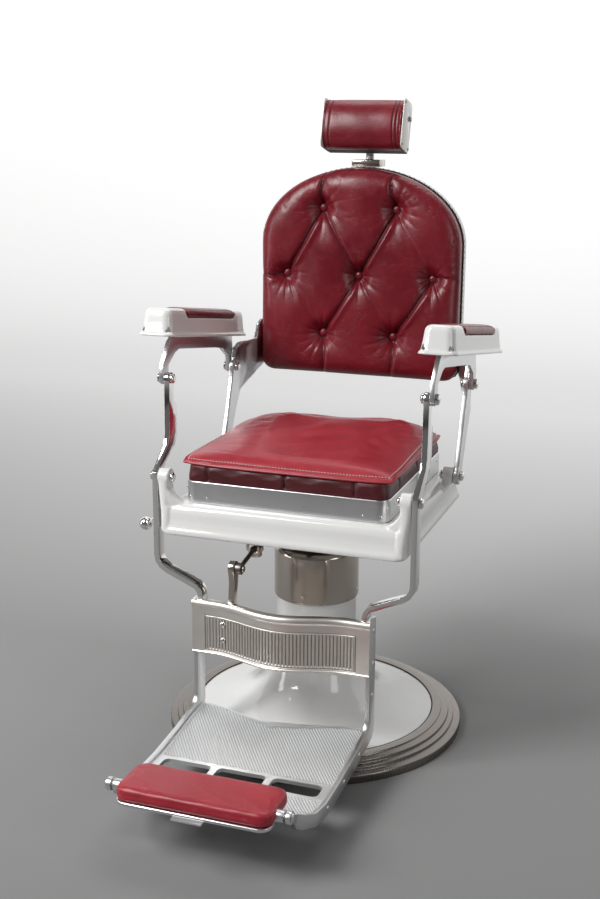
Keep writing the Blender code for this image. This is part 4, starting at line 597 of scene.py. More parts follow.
def dress_solids():
    for label, _ in SIDES:
        dress(f"lever_strap_{label}", CHROME, 0.0016)
        dress(f"side_strap_{label}", ALUMINIUM, 0.0013)
        dress(f"back_bracket_{label}", ALUMINIUM, voxel=0.0022, rounds=6)
        dress(f"arm_bracket_{label}", ALUMINIUM, 0.0022)
        dress(f"headrest_end_{label}", PLATE, 0.0008)
        for bolt in ("front_ear_bolt", "rear_ear_bolt", "arm_front_bolt", "arm_rear_bolt"):
            dress(f"{bolt}_{label}", CHROME, 0.0006)
    for node, finish, edge in (
            ("footpad_tray", ALUMINIUM, 0.0008), ("lock_clamp", NICKEL, 0.0018),
            ("post_guide", NICKEL, 0.0010), ("headrest_post", STEEL, 0.0010),
            ("headrest_pin", STEEL, 0.0004), ("lock_rod", DARK_STEEL, 0.0008),
            ("lock_bracket", STEEL, 0.0010), ("lock_lug", NICKEL, 0.0012),
            ("rocker_shaft", STEEL, 0.0010), ("hydraulic_cylinder", STEEL, 0.0010),
            ("ram_piston", STEEL, 0.0010), ("hydraulic_ram", CHROME, 0.0010),
            ("swivel_bearing", STEEL, 0.0006), ("base_plate", IRON, 0.0010),
            ("seat_spider", IRON, 0.0025), ("pump_body", IRON, 0.0020),
            ("seat_board", WOOD, 0.0008), ("back_board", WOOD, 0.0010),
            ("paper_spindle", STEEL, 0.0006), ("headrest_case", IRON, 0.0010),
            ("headrest_lock_knob", CHROME, 0.0012)):
        dress(node, finish, edge)


# ---- pedestal ----
def make_pedestal():
    """Stepped ring, black seam, enamelled bell column and nickel sleeve."""
    steps = [(RING_INNER, 0.0388), (RING_INNER, 0.0402), (0.2860, 0.0406), (0.2868, 0.0372),
             (0.3020, 0.0356),
             (0.3030, 0.0290), (0.3135, 0.0272), (0.3145, 0.0205), (0.3290, 0.0180),
             (RING_OUTER, 0.0150), (RING_OUTER, 0.0006), (0.3290, 0.0), (0.2560, 0.0), (0.2560, 0.0290)]
    fit(lathe("base_ring_turned", soften(steps, 0.0010, 3, closed=True), SHADED_RING_METAL, 160), "pedestal",
        "polished_aluminium", "base_ring")
    seam = [(RING_INNER + 0.0011 * math.cos(math.radians(a)), 0.0395 + 0.0013 * math.sin(math.radians(a)))
            for a in range(0, 360, 45)]
    fit(lathe("base_seam", seam, BLACK, 160), "pedestal", "cast_iron")
    outer = soften([(COLUMN_RADIUS, 0.302), (COLUMN_RADIUS, 0.188), (0.0915, 0.150), (0.1010, 0.121),
                    (0.1180, 0.095), (0.1470, 0.071), (0.1900, 0.0535), (0.2350, 0.0435), (0.2640, 0.0386)],
                   0.018, 5)
    inner = [(0.2640, 0.0310), (0.238, 0.0303), (0.150, 0.0530), (0.106, 0.0880), (0.0785, 0.145),
             (0.0785, 0.302)]
    fit(lathe("pedestal_bell", outer + inner, ENAMEL, 128), "pedestal", "white_enamel", "pedestal_column")
    upper = [(0.0795, COLUMN_TOP), (COLUMN_RADIUS - 0.0005, COLUMN_TOP), (COLUMN_RADIUS - 0.0005, 0.3025),
             (0.0795, 0.3025)]
    fit(lathe("pedestal_neck", upper, ENAMEL, 64), "pedestal", "white_enamel")
    sleeve = soften([(0.0405, COLLAR_TOP), (0.074, COLLAR_TOP), (0.0885, COLLAR_TOP - 0.0035),
                     (COLLAR_RADIUS, COLLAR_TOP - 0.0120), (COLLAR_RADIUS, COLLAR_BOTTOM + 0.0020),
                     (COLLAR_RADIUS - 0.0010, COLLAR_BOTTOM), (0.0900, COLLAR_BOTTOM), (0.0900, 0.4005),
                     (0.0405, 0.4005)], 0.004, 4, closed=True)
    fit(lathe("pedestal_sleeve", sleeve, NICKEL, 96), "pedestal", "dull_nickel", "column_collar")
    reach, up = COLLAR_RADIUS - 0.0004, COLLAR_BOTTOM + 0.018
    places = [((x * reach, y * reach, up), (x, y, 0)) for x, y in ((0, -1), (1, 0), (-1, 0))]
    heads("sleeve_screws", STEEL, "pedestal", places, 0.0042, 0.0022)


# ---- seat casting ----
def frame_ring(inset, z, corner=12):
    radius = max(FRAME_CORNER - inset * 0.6, 0.010)
    outline = level_rectangle(FRAME_HALF, FRAME_FRONT, FRAME_REAR, inset, radius, corner)
    return [(x, y, z) for x, y in outline]


def front_ear_rings(side, y, z):
    """Ear that the frame's front corner rises into."""
    rings = []
    foot = FRAME_BOTTOM + 0.006
    for n in range(23):
        height = foot + (z - foot) * n / 22
        flare = smoothstep(height, foot + 0.020, z - 0.012)
        outer = FRAME_HALF - 0.0012 + (EAR_OUTER - FRAME_HALF + 0.0012) * flare
        above = min(max((height - DECK_TOP + 0.008) / 0.042, 0.0), 1.0)
        inner = EAR_OUTER - EAR_THICKNESS
        if height < DECK_TOP - 0.007:
            inner = FRAME_HALF - 0.0225
        reach = 1.0 - smoothstep(height, foot, z - 0.018)
        front = y - EAR_RADIUS + (FRAME_FRONT + 0.0022 - y + EAR_RADIUS) * reach
        rear = y + EAR_RADIUS + 0.024 * (1.0 - above) ** 2.0
        outline = rounded_rectangle(inner, outer, front, rear, 0.0085, 4)
        rings.append([(side * x, yy, height) for x, yy in outline])
    return rings


def ear_web_rings(side, y, z):
    """Web that sweeps from a front ear down into the deck's front edge."""
    rings = []
    inner = EAR_OUTER - EAR_THICKNESS + 0.006
    for n in range(15):
        share = n / 14
        x = inner - 0.052 * (1.0 - share)
        top = DECK_TOP - 0.002 + (z - 0.012 - DECK_TOP) * share ** 2.6
        front = y - EAR_RADIUS + 0.0005 + 0.0130 * (1.0 - share) ** 1.3
        outline = rounded_rectangle(front, front + 0.026, DECK_TOP - 0.0072, top, 0.0042, 4)
        rings.append([(side * x, yy, zz) for yy, zz in outline])
    return rings


def rear_ear_rings(side, y, z):
    """Ear standing on the side of the deck, flared along it and inwards."""
    rings = []
    foot = DECK_TOP - 0.030
    base_outer = FRAME_HALF - 0.0130
    for n in range(13):
        share = n / 12
        flare = (1.0 - smoothstep(share, 0.0, 0.85)) ** 1.5
        half = EAR_RADIUS + 0.024 * flare
        outer = base_outer + (EAR_OUTER - base_outer) * smoothstep(share, 0.0, 0.85)
        inner = EAR_OUTER - EAR_THICKNESS - 0.020 * flare
        outline = rounded_rectangle(inner, outer, y - half, y + half, 0.007, 4)
        rings.append([(side * x, yy, foot + (z - foot) * share) for x, yy in outline])
    return rings


def make_seat_frame():
    deck_bottom = DECK_TOP - DECK_THICKNESS
    opening = FRAME_HALF - 0.120
    rise = ((0.0030, 0.0), (0.0, 0.004), (0.0, 0.011), (0.0042, 0.018), (0.0078, 0.032), (0.0096, 0.050),
            (0.0140, 0.0610))
    profile = [(inset, FRAME_BOTTOM + up) for inset, up in rise]
    profile += [(0.0240, DECK_TOP), (opening, DECK_TOP), (opening, deck_bottom), (0.0240, deck_bottom),
                (0.0200, deck_bottom - 0.006), (0.0165, deck_bottom - 0.030), (0.0090, FRAME_BOTTOM)]
    bm = bmesh.new()
    add_skin(bm, [frame_ring(inset, z) for inset, z in soften(profile, 0.004, 3, closed=True)], closed=True)
    for _, side in SIDES:
        for (y, z), rings in ((FRONT_EAR, front_ear_rings), (REAR_EAR, rear_ear_rings)):
            add_skin(bm, rings(side, y, z))
            add_rod(bm, (side * (EAR_OUTER - EAR_THICKNESS), y, z), (side * EAR_OUTER, y, z), EAR_RADIUS, 40)
        add_skin(bm, ear_web_rings(side, *FRONT_EAR))
    low_x = -FRAME_HALF + 0.014
    y, z = ROCKER
    add_rod(bm, (low_x, y, z), (low_x + 0.010, y, z), 0.016, 32)
    box = Matrix.Translation((low_x + 0.005, y, (z + DECK_TOP) / 2)) @ Matrix.Diagonal(
        (0.010, 0.032, DECK_TOP - z - 0.004, 1.0))
    bmesh.ops.create_cube(bm, size=1.0, matrix=box)
    casting = from_bmesh("seat_casting", bm, ENAMEL, 60.0)
    cast(casting, 0.0021, 7)
    fit(casting, "seat", "white_enamel", "seat_frame")

    def band_ring(inset, z):
        outline = level_rectangle(BAND_HALF, BAND_FRONT, BAND_REAR, inset, BAND_CORNER - inset, 14)
        return [(x, y, z) for x, y in outline]

    foot = DECK_TOP + 0.0003
    lip = [(0.0012, foot), (0.0, foot + 0.0012), (0.0, BAND_TOP - 0.0022), (0.0007, BAND_TOP - 0.0004),
           (BAND_WALL - 0.0004, BAND_TOP), (BAND_WALL, BAND_TOP - 0.0010), (BAND_WALL, foot)]
    rings = [band_ring(inset, z) for inset, z in soften(lip, 0.0006, 2, closed=True)]
    fit(skin("seat_band_rolled", rings, ALUMINIUM, closed=True), "seat", "polished_aluminium", "seat_band")
    bm = bmesh.new()
    low, high = DECK_TOP + 0.013, DECK_TOP + 0.030
    for side in (-1, 1):
        add_dome(bm, (side * 0.170, BAND_FRONT + 0.0002, low), (0, -1, 0), 0.0022, 0.0012)
        add_dome(bm, (side * 0.170, BAND_REAR - 0.0002, low), (0, 1, 0), 0.0022, 0.0012)
        for y in (-0.165, -0.010, 0.185):
            add_dome(bm, (side * (BAND_HALF - 0.0002), y, high), (side, 0, 0), 0.0026, 0.0014)
        for angle, height in ((300, low), (330, high)):
            way = Vector((math.cos(math.radians(angle)) * side, math.sin(math.radians(angle)), 0))
            centre = Vector((side * (BAND_HALF - BAND_CORNER), BAND_FRONT + BAND_CORNER, height))
            add_dome(bm, centre + way * (BAND_CORNER - 0.0002), way, 0.0026, 0.0014)
    fit(from_bmesh("band_screws", bm, CHROME), "seat", "chrome")


# ---- control lever ----
def make_control_lever():
    """Hub on the rocker shaft, bowed rod and chromed ball."""
    y, z = ROCKER
    bm = bmesh.new()
    hub = [(0.0, 0.0), (0.0140, 0.0), (0.0150, 0.0015), (0.0150, 0.0140), (0.0125, 0.0160), (0.0, 0.0165)]
    add_lathe(bm, soften(hub, 0.0010, 2), 32, pointing((LEVER_HUB, y, z), (-1, 0, 0)))
    start = Vector((LEVER_HUB - 0.008, y - 0.006, z))
    knee = Vector((LEVER_HUB - 0.012, y - 0.045, z + 0.002))
    route = soften([start, knee, knee.lerp(LEVER_BALL, 0.5), LEVER_BALL], 0.030, 8)
    add_tube(bm, route, 0.0054, 16)
    bmesh.ops.create_uvsphere(bm, u_segments=32, v_segments=20, radius=BALL_RADIUS,
                              matrix=Matrix.Translation(LEVER_BALL))
    away = (knee - LEVER_BALL).normalized()
    neck = soften([(0.0, 0.0), (0.0080, 0.0), (0.0080, 0.0030), (0.0058, 0.0065), (0.0, 0.0065)], 0.001, 2)
    add_lathe(bm, neck, 20, pointing(LEVER_BALL + away * (BALL_RADIUS - 0.0025), away))
    bmesh.ops.remove_doubles(bm, verts=bm.verts, dist=0.00001)
    fit(from_bmesh("lever_and_ball", bm, CHROME), "control_lever", "chrome", "control_lever")


# ---- legrest ----
def apron_face(x):
    """Plan of the apron's back: level at its ends and bowed forward between them."""
    return APRON_FRONT - 0.0003 - 0.032 * bump(x, 0.150)


def make_apron():
    """Cast panel: rolled top, framed field of upright flutes, and a thin lower flange."""
    half = STRAP_X + STRAP_THICKNESS
    flutes = 45
    field_half, rim = 0.1680, 0.0022
    field_top, field_bottom = APRON_TOP - 0.0310, APRON_BOTTOM + 0.0075
    span = 2 * (field_half - 0.0045) / flutes
    stations = [-half, -half + 0.004, -field_half - 0.006, -field_half - 0.0022]
    stations += [-field_half, -field_half + 0.0012, -field_half + 0.0034, -field_half + 0.0045]
    for i in range(flutes):
        left = -field_half + 0.0045 + i * span
        stations += [left + span * share for share in (0.14, 0.22, 0.36, 0.5, 0.64, 0.78, 0.86, 1.0)]
    stations += [field_half + off for off in (-0.0034, -0.0012, 0.0, 0.0022, 0.006)] + [half - 0.004, half]

    def in_field(x, z):
        """How far a place is inside the channel and the flutes' edge, and its share across a flute."""
        edge = min(field_half - abs(x), field_top - z, z - field_bottom)
        inside = min(field_half - 0.0045 - abs(x), field_top - 0.0052 - z, z - field_bottom - 0.0052)
        return edge, inside, ((x + field_half - 0.0045) / span) % 1.0

    def field_depth(x, z):
        """Sunk channel round the field, and flutes inside it."""
        edge, inside, share = in_field(x, z)
        if edge < 0.0:
            return 0.0
        channel = 0.0016 * smoothstep(edge, 0.0, 0.0008)
        if edge < rim:
            return channel
        raised = 0.0013 * smoothstep(edge, rim, rim + 0.0008)
        if inside < 0.0:
            return channel - raised
        groove = 1.0 - smoothstep(abs(share - 0.5), 0.16, 0.40)
        return channel - raised + 0.0024 * (1.0 - groove) * smoothstep(inside, 0.0, 0.0012)

    def held_dirt(co):
        """Dirt in the channel round the field and between its ribs."""
        if co.y > apron_face(co.x) - APRON_THICKNESS + 0.0045:
            return 0.0
        edge, inside, share = in_field(co.x, co.z)
        if edge <= 0.0:
            return 0.0
        if edge < rim:
            return 0.85 * smoothstep(edge, 0.0, 0.0006)
        return 0.72 * smoothstep(abs(share - 0.5), 0.27, 0.42) if inside > 0.0004 else 0.06

    top, face = APRON_TOP, APRON_THICKNESS - 0.0006
    levels = [field_bottom - 0.0015 + (field_top - field_bottom + 0.003) * i / 57 for i in range(58)]
    section = [(top, 0.0)]
    for angle in map(math.radians, (88, 70, 50, 30, 10, -10)):
        section.append((top - 0.0095 + 0.0095 * math.sin(angle), 0.0005 + 0.0082 * math.cos(angle) ** 0.8))
    section += [(top - 0.0128, 0.0070), (top - 0.0150, 0.0056)]
    section += [(top - 0.0180 - 0.006 * n / 3, face) for n in range(4)]
    section += [(level, face) for level in reversed(levels)]
    section += [(APRON_BOTTOM + up, APRON_THICKNESS + out) for up, out in (
        (0.0052, -0.0006), (0.0035, 0.0008), (0.0008, 0.0008), (0.0, 0.0), (0.0, -APRON_THICKNESS))]
    rings = []
    for x in stations:
        base = apron_face(x)
        ring = [(x, base - thick + (field_depth(x, z) if thick > 0.0 else 0.0), z) for z, thick in section]
        rings.append(ring)
    panel = mark(skin("apron_panel", rings, APRON_METAL, angle=28.0), held_dirt)
    fit(panel, "legrest", "polished_aluminium", "legrest_apron")
    inner = STRAP_X - 0.0200
    lip = ((0.0, 0.0044), (0.0100, 0.0044), (0.0110, 0.0034), (0.0110, 0.0016), (0.0100, 0.0006),
           (0.0, 0.0006))
    shelf = []
    for n in range(61):
        x = inner * (2.0 * n / 60 - 1.0)
        y = apron_face(x) - 0.0010
        shelf.append([(x, y + out, top - down) for out, down in lip])
    fit(skin("apron_shelf", shelf, ALUMINIUM), "legrest", "polished_aluminium")
    x = -0.1255
    normal = Vector((apron_face(x + 0.002) - apron_face(x - 0.002), -0.004, 0)).normalized()
    front = apron_face(x) - APRON_THICKNESS + 0.0010
    places = [((x, front, APRON_TOP - down), normal) for down in (0.0475, 0.0830)]
    heads("apron_screws", CHROME, "legrest", places, 0.0062, 0.0040)


def strap_shift(y):
    return (STRAP_X + STRAP_THICKNESS - 0.182) * smoothstep(-y, 0.540, 0.618)


def tread_height(y):
    return 0.0960 - 0.0190 * smoothstep(-y, -TREAD_REAR, 0.450) + 0.0180 * smoothstep(-y, 0.510, 0.640)


def tread_rear(x):
    notch = 0.006 * (1.0 - smoothstep(abs(x + 0.006), 0.008, 0.013))
    return TREAD_REAR - 0.0425 * bump(x, 0.175) - notch


def tread_half(y):
    return STRAP_X - 0.0006 - strap_shift(y - 0.008)


def make_footplate():
    """Cast plate with a raised margin, three slots and slanting ribs over its tread."""
    columns, rows = 90, 76
    bm = bmesh.new()
    margin = 0.0065

    def rib_ground(x, y):
        """1 on the ribbed fields, 0 on the smooth margins and bars."""
        side = tread_half(y) - margin - abs(x)
        main = min(tread_rear(x) - margin - y, y - SLOT_REAR - 0.012, side)
        strip = min(SLOT_FRONT - 0.010 - y, y - TREAD_FRONT - margin, side)
        return max(main, strip)

    rings = []
    for i in range(rows + 1):
        share = i / rows
        top, under = [], []
        for j in range(columns + 1):
            u = math.sin(math.pi / 2 * (2.0 * j / columns - 1.0)) * 0.35 + (2.0 * j / columns - 1.0) * 0.65
            rear = tread_rear(u * STRAP_X)
            y = rear + (TREAD_FRONT - rear) * share
            x = u * tread_half(y)
            z = tread_height(y)
            drop = 0.0016 * smoothstep(rib_ground(x, y), -0.0012, 0.0004)
            top.append((x, y, z - drop))
            under.append((x, y, z - TREAD_THICKNESS))
        rings.append(top + under[::-1])
    plate = skin("footplate_casting", rings, TREAD_METAL)
    holes = []
    for n in (-1, 0, 1):
        middle, half = n * (SLOT_WIDTH + SLOT_BAR), SLOT_WIDTH / 2
        outline = rounded_rectangle(middle - half, middle + half, SLOT_FRONT, SLOT_REAR, 0.012, 8)
        rings = [[(x, y, z) for x, y in outline] for z in (0.03, 0.14)]
        holes.append(skin(f"slot_cutter_{n + 1}", rings, None))
    cutters(plate, *holes)
    shade(plate.data)

    def held_dirt(co):
        if co.z > tread_height(co.y) - 0.004:
            return 0.30 * smoothstep(rib_ground(co.x, co.y), 0.0, 0.0015)
        return 0.0

    mark(plate, held_dirt)
    fit(plate, "legrest", "polished_aluminium", "footplate")

    pitch, slant = 0.0056, math.radians(34.0)
    along = Vector((math.sin(slant), -math.cos(slant)))
    across = Vector((along.y, -along.x))
    bm = bmesh.new()
    for n in range(-150, 151):
        stretch = []
        for step in range(-260, 261):
            point = across * (n * pitch) + Vector((0.0, -0.40)) + along * (step * 0.0028)
            if rib_ground(point.x, point.y) > 0.0:
                stretch.append(point)
                continue
            add_rib(bm, stretch, across)
            stretch = []
        add_rib(bm, stretch, across)
    fit(from_bmesh("footplate_ribs", bm, TREAD_METAL, 25.0), "legrest", "polished_aluminium")

    outer = STRAP_X + STRAP_THICKNESS - 0.0003
    rivets = ((APRON_FRONT + 0.020, 0.318), (APRON_FRONT + 0.020, 0.246), (APRON_FRONT + 0.018, 0.176),
              (-0.300, 0.0810), (-0.400, 0.0715), (-0.500, 0.0690))
    places = [((side * outer, y, z), (side, 0, 0)) for _, side in SIDES for y, z in rivets]
    heads("strap_rivets", CHROME, "legrest", places, 0.0045, 0.0022, slot=False)


def add_rib(bm, line, across):
    """One low rounded rib along a run of plan points on the tread."""
    if len(line) < 3:
        return
    line = line[::4] + ([line[-1]] if (len(line) - 1) % 4 else [])
    rings = []
    for point in line:
        z = tread_height(point.y) - 0.0019
        section = ((-0.0017, 0.0), (-0.0011, 0.0013), (0.0, 0.0019), (0.0011, 0.0013), (0.0017, 0.0))
        rings.append([(point.x + across.x * off, point.y + across.y * off, z + up) for off, up in section])
    add_skin(bm, rings)


# ---- back shell ----
def arch(inset, count=56):
    """Outline of the back as (x, z): round bottom corners, upright sides and an elliptical arch."""
    half = BACK_HALF - inset
    rise = BACK_TOP - BACK_SPRING - inset
    corner = BACK_CORNER - inset if BACK_CORNER > inset + 0.004 else 0.004
    bottom = BACK_BOTTOM + inset
    points = arc((-half + corner, bottom + corner), corner, 180, 270, 8)
    points += arc((half - corner, bottom + corner), corner, 270, 360, 8)
    for i in range(count + 1):
        angle = math.pi * i / count
        points.append((half * math.cos(angle), BACK_SPRING + rise * math.sin(angle)))
    return points


def make_back_shell():
    """Pressed enamelled pan behind the upholstery, its rim nailed through a dark gimp."""
    profile = [(0.0008, BACK_JOIN - 0.0022), (-0.0020, BACK_JOIN - 0.0022), (-0.0020, BACK_REAR - 0.009),
               (0.0010, BACK_REAR - 0.002), (0.0080, BACK_REAR), (0.030, BACK_REAR),
               (0.0325, BACK_REAR - 0.0012), (0.0350, BACK_REAR), (0.120, BACK_REAR)]
    bm = bmesh.new()
    rings = [[(x, y, z) for x, z in arch(inset)] for inset, y in soften(profile, 0.0012, 3)]
    add_skin(bm, rings, caps=False)
    ends = [edge for edge in bm.edges if edge.is_boundary and abs(edge.verts[0].co.y - BACK_REAR) < 0.0001]
    bmesh.ops.edgeloop_fill(bm, edges=ends)
    pan = from_bmesh("back_pan", bm, ENAMEL, 30.0)
    wall = pan.modifiers.new("wall", "SOLIDIFY")
    wall.thickness = 0.0014
    wall.offset = -1.0
    settle(pan)
    shade(pan.data, 30.0)
    fit(pan, "backrest", "white_enamel", "back_shell")

    rim = [Vector((x, BACK_JOIN - 0.0030, z)) for x, z in arch(-0.0002)]
    bm = bmesh.new()
    add_tube(bm, rim, 0.0021, 8, closed=True)
    fit(from_bmesh("back_gimp", bm, BLACK), "backrest", "leather")
    places = []
    travelled, following = 0.0, 0.006
    for a, b in zip(rim, rim[1:] + rim[:1]):
        span = (b - a).length
        outward = Vector(((b - a).z, 0.0, -(b - a).x)).normalized()
        while span > 0.0 and following <= travelled + span:
            middle = a.lerp(b, (following - travelled) / span)
            places.append((middle + outward * 0.0014, outward + Vector((0, -0.35, 0))))
            following += 0.0125
        travelled += span
    heads("back_nails", DARK_STEEL, "backrest", places, 0.0030, 0.0016, slot=False, steps=8)
    places = [((x, BACK_REAR + 0.0001, z), (0, 1, 0)) for x in (-0.150, 0.0, 0.150) for z in (0.800, 0.985)]
    heads("back_screws", CHROME, "backrest", places, 0.0045, 0.0022)
    places = [((side * 0.2460, y, z), (side, 0, 0)) for _, side in SIDES for z in (0.772, 0.835)
              for y in (0.318, 0.334)]
    heads("bracket_screws", CHROME, "backrest", places, 0.0045, 0.0026)


# ---- armrests ----
def arm_point(side, across, along, up):
    y = ARM_START[0] + along * math.cos(ARM_SLOPE) + up * math.sin(ARM_SLOPE)
    z = ARM_START[1] - along * math.sin(ARM_SLOPE) + up * math.cos(ARM_SLOPE)
    return Vector((side * (ARM_X + ARM_SPLAY * along + across), y, z))


def make_armrests():
    """Hollow enamelled arm with a flared lip, its top let down between two horns for the pad."""
    floor = ARM_HEIGHT - SADDLE_DEPTH
    profile = soften([(0.0012, 0.0), (0.0, 0.0022), (0.0008, 0.0050), (0.0048, 0.0085), (0.0075, 0.0280),
                      (0.0095, 0.0480), (0.0125, 0.0555), (0.0200, ARM_HEIGHT)], 0.0035, 4)
    for label, side in SIDES:
        rings = []
        for inset, up in profile:
            ends = inset * 1.1
            outline = rounded_rectangle(-ARM_HALF + inset, ARM_HALF - inset, ends, ARM_LENGTH - ends,
                                        max(0.020 - inset * 0.35, 0.008), 9)
            rings.append([arm_point(side, across, along, up) for across, along in outline])
        arm = skin(f"arm_casting_{label}", rings, ENAMEL)
        radius = 0.012
        start, end = SADDLE_START - 0.0005, SADDLE_END + 0.0005
        outline = [(start - 0.004, ARM_HEIGHT + 0.02), (start, ARM_HEIGHT - 0.004)]
        outline += arc((start + radius, floor + radius), radius, 180, 270, 8)
        outline += arc((end - radius, floor + radius), radius, 270, 360, 8)
        outline += [(end, ARM_HEIGHT - 0.004), (end + 0.004, ARM_HEIGHT + 0.02)]
        trough = skin("trough", [[arm_point(side, across, along, up) for along, up in outline]
                                 for across in (-0.06, 0.06)], None)
        rings = []
        for inset, up in ((0.0060, -0.01), (0.0075, 0.008), (0.0125, floor - 0.005)):
            outline = level_rectangle(ARM_HALF, 0.0, ARM_LENGTH, inset, 0.010, 6)
            rings.append([arm_point(side, across, along, up) for across, along in outline])
        hollow = skin("hollow", rings, None)
        cutters(arm, trough, hollow)
        cast(arm, 0.00165, 5)
        fit(arm, f"arm_{label}", "white_enamel", f"armrest_{label}")


# ---- upholstery ----
def even_mesh(piece, voxel, rounds=3):
    """Remesh a closed soft form evenly, as the start of its swelling."""
    remesh = piece.modifiers.new("even", "REMESH")
    remesh.mode = "VOXEL"
    remesh.voxel_size = voxel
    relax = piece.modifiers.new("relax", "SMOOTH")
    relax.factor = 0.5
    relax.iterations = rounds
    return settle(piece)


def swell(forms):
    """Blow all soft forms up together as cloth, each point kept within its form's reach."""
    starts = {}
    for piece, reach, pressure, held in forms:
        group = piece.vertex_groups.new(name="held")
        group.add([v.index for v in piece.data.vertices if held(v.co)], 1.0, "REPLACE")
        starts[piece.name] = [v.co.copy() for v in piece.data.vertices]
        cloth = piece.modifiers.new("cloth", "CLOTH")
        cloth.settings.use_pressure = True
        cloth.settings.uniform_pressure_force = pressure
        cloth.settings.effector_weights.gravity = 0.0
        cloth.settings.vertex_group_mass = "held"
        cloth.settings.quality = 4
        cloth.settings.mass = 0.3
        cloth.settings.tension_stiffness = 12.0
        cloth.settings.compression_stiffness = 6.0
        cloth.settings.bending_stiffness = 0.4
        cloth.point_cache.frame_start = 1
        cloth.point_cache.frame_end = 20
    scene.frame_start = 1
    scene.frame_end = 20
    for number in range(1, 21):
        scene.frame_set(number)
    graph = bpy.context.evaluated_depsgraph_get()
    for piece, reach, pressure, held in forms:
        swollen = piece.evaluated_get(graph).data
        moved = []
        for start, vert in zip(starts[piece.name], swollen.vertices):
            shift = vert.co - start
            if shift.length > reach:
                shift = shift.normalized() * reach
            moved.append(start + shift)
        piece.modifiers.clear()
        for vert, place in zip(piece.data.vertices, moved):
            vert.co = place
        piece.vertex_groups.clear()
    scene.frame_set(1)


def refine(piece, levels=1):
    step = piece.modifiers.new("refine", "SUBSURF")
    step.levels = levels
    step.render_levels = levels
    settle(piece)
    piece.data.shade_smooth()
    return piece


def remould(piece, rule):
    """Move every point by a rule that also says how deep it lies in a fold, as an amount that the leather
    finish paints as shade and the metal finish as dirt in its grooves.
    """
    depths = piece.data.attributes.new("crease", "FLOAT", "POINT")
    for number, vert in enumerate(piece.data.vertices):
        vert.co, depths.data[number].value = rule(vert.co)
    piece.data.update()
    return piece


def mark(piece, rule):
    """Mark where a piece's grooves hold dirt, for its finish to read."""
    return remould(piece, lambda co: (co.copy(), rule(co)))


# ---- box cushion ----
def start_box_cushion():
    profile = [(0.0030, BOX_BOTTOM), (0.0002, BOX_BOTTOM + 0.008), (0.0, BAND_TOP), (0.0, BAND_TOP + 0.012),
               (0.0020, BOX_TOP - 0.006), (0.0100, BOX_TOP - 0.0006), (0.0300, BOX_TOP - 0.0003)]
    outline = level_rectangle(BAND_HALF, BAND_FRONT, BAND_REAR, BOX_GAP, BAND_CORNER - BOX_GAP, 8, 0.006)
    centre = Vector((0.0, (BAND_FRONT + BAND_REAR) / 2))
    rings = []
    for inset, z in soften(profile, 0.003, 3):
        ring = []
        for x, y in outline:
            away = Vector((x, y)) - centre
            place = centre + away * (1.0 - inset / away.length)
            ring.append((place.x, place.y, z))
        rings.append(ring)
    return even_mesh(skin("seat_box_cushion", rings, SHADED_BOX_RED, angle=60.0), 0.0050)


def front_droop(y):
    """How far the box cushion and the pad over it sink at the worn front edge."""
    return 0.0062 * smoothstep(-y, -PAD_FRONT - 0.030, -PAD_FRONT)


def seam_pull(x, y):
    """How far a box cushion's upright seams draw its side in."""
    pull = 0.0
    if abs(y) > 0.185:
        pull = max(math.exp(-abs(x - place) / 0.0030) for place in (-0.171, 0.0, 0.151))
    if abs(x) > 0.190:
        pull = max(pull, max(math.exp(-abs(y - place) / 0.0030) for place in (-0.120, 0.020, 0.150)))
    return pull


def finish_box_cushion(piece):
    refine(piece)

    def shape(co):
        rise = smoothstep(co.z, BAND_TOP - 0.004, BAND_TOP + 0.006)
        rise *= 1.0 - smoothstep(co.z, BOX_TOP - 0.006, BOX_TOP)
        seam = seam_pull(co.x, co.y)
        sag = 0.0016 * math.sin(co.x * 75.0 + 1.0) * math.sin(co.z * 160.0) * rise
        centre = Vector((0.0, 0.0075, co.z))
        away = co - centre
        made = centre + away * (1.0 - (0.0062 * seam * rise + sag) / max(away.length, 0.01))
        made.z = max(min(made.z, BOX_TOP - 0.0002 - front_droop(made.y)), BOX_BOTTOM)
        half = BAND_HALF - BOX_GAP
        made.x = min(max(made.x, -half), half)
        made.y = min(max(made.y, BAND_FRONT + BOX_GAP), BAND_REAR - BOX_GAP)
        # painted shade: the hide is darkened where the upright seams draw the side in
        return made, 0.9 * smoothstep(seam, 0.45, 0.95) * rise

    remould(piece, shape)
    fit(piece, "seat", "leather", "seat_cushion")


# ---- loose seat pad ----
def pad_place(grid_x, grid_y):
    """Plan point of the pad and how near its edge it is, from a square's -1 to 1."""
    u = math.sin(math.pi / 2 * grid_x)
    v = math.sin(math.pi / 2 * grid_y)
    pull = 1.0 - 0.030 * (1.0 - v * v) * u * u
    x = PAD_HALF * u * pull * (1.0 - 0.045 * v ** 4 * u * u)
    y = PAD_MIDDLE + PAD_HALF_DEPTH * v * (1.0 - 0.045 * u ** 4 * v * v)
    return x, y, u, v


def pad_outline(shrink, count=60):
    """Points round the pad's edge, drawn in by a little."""
    steps = [-1.0 + 2.0 * i / count for i in range(count)]
    sides = [(step, -1.0) for step in steps] + [(1.0, step) for step in steps]
    sides += [(-step, 1.0) for step in steps] + [(-1.0, -step) for step in steps]
    made = []
    for grid_x, grid_y in sides:
        x, y, _, _ = pad_place(grid_x, grid_y)
        x -= math.copysign(shrink, x) * abs(grid_x) ** 6
        y -= math.copysign(shrink, y - PAD_MIDDLE) * abs(grid_y) ** 6
        made.append((x, y))
    return made


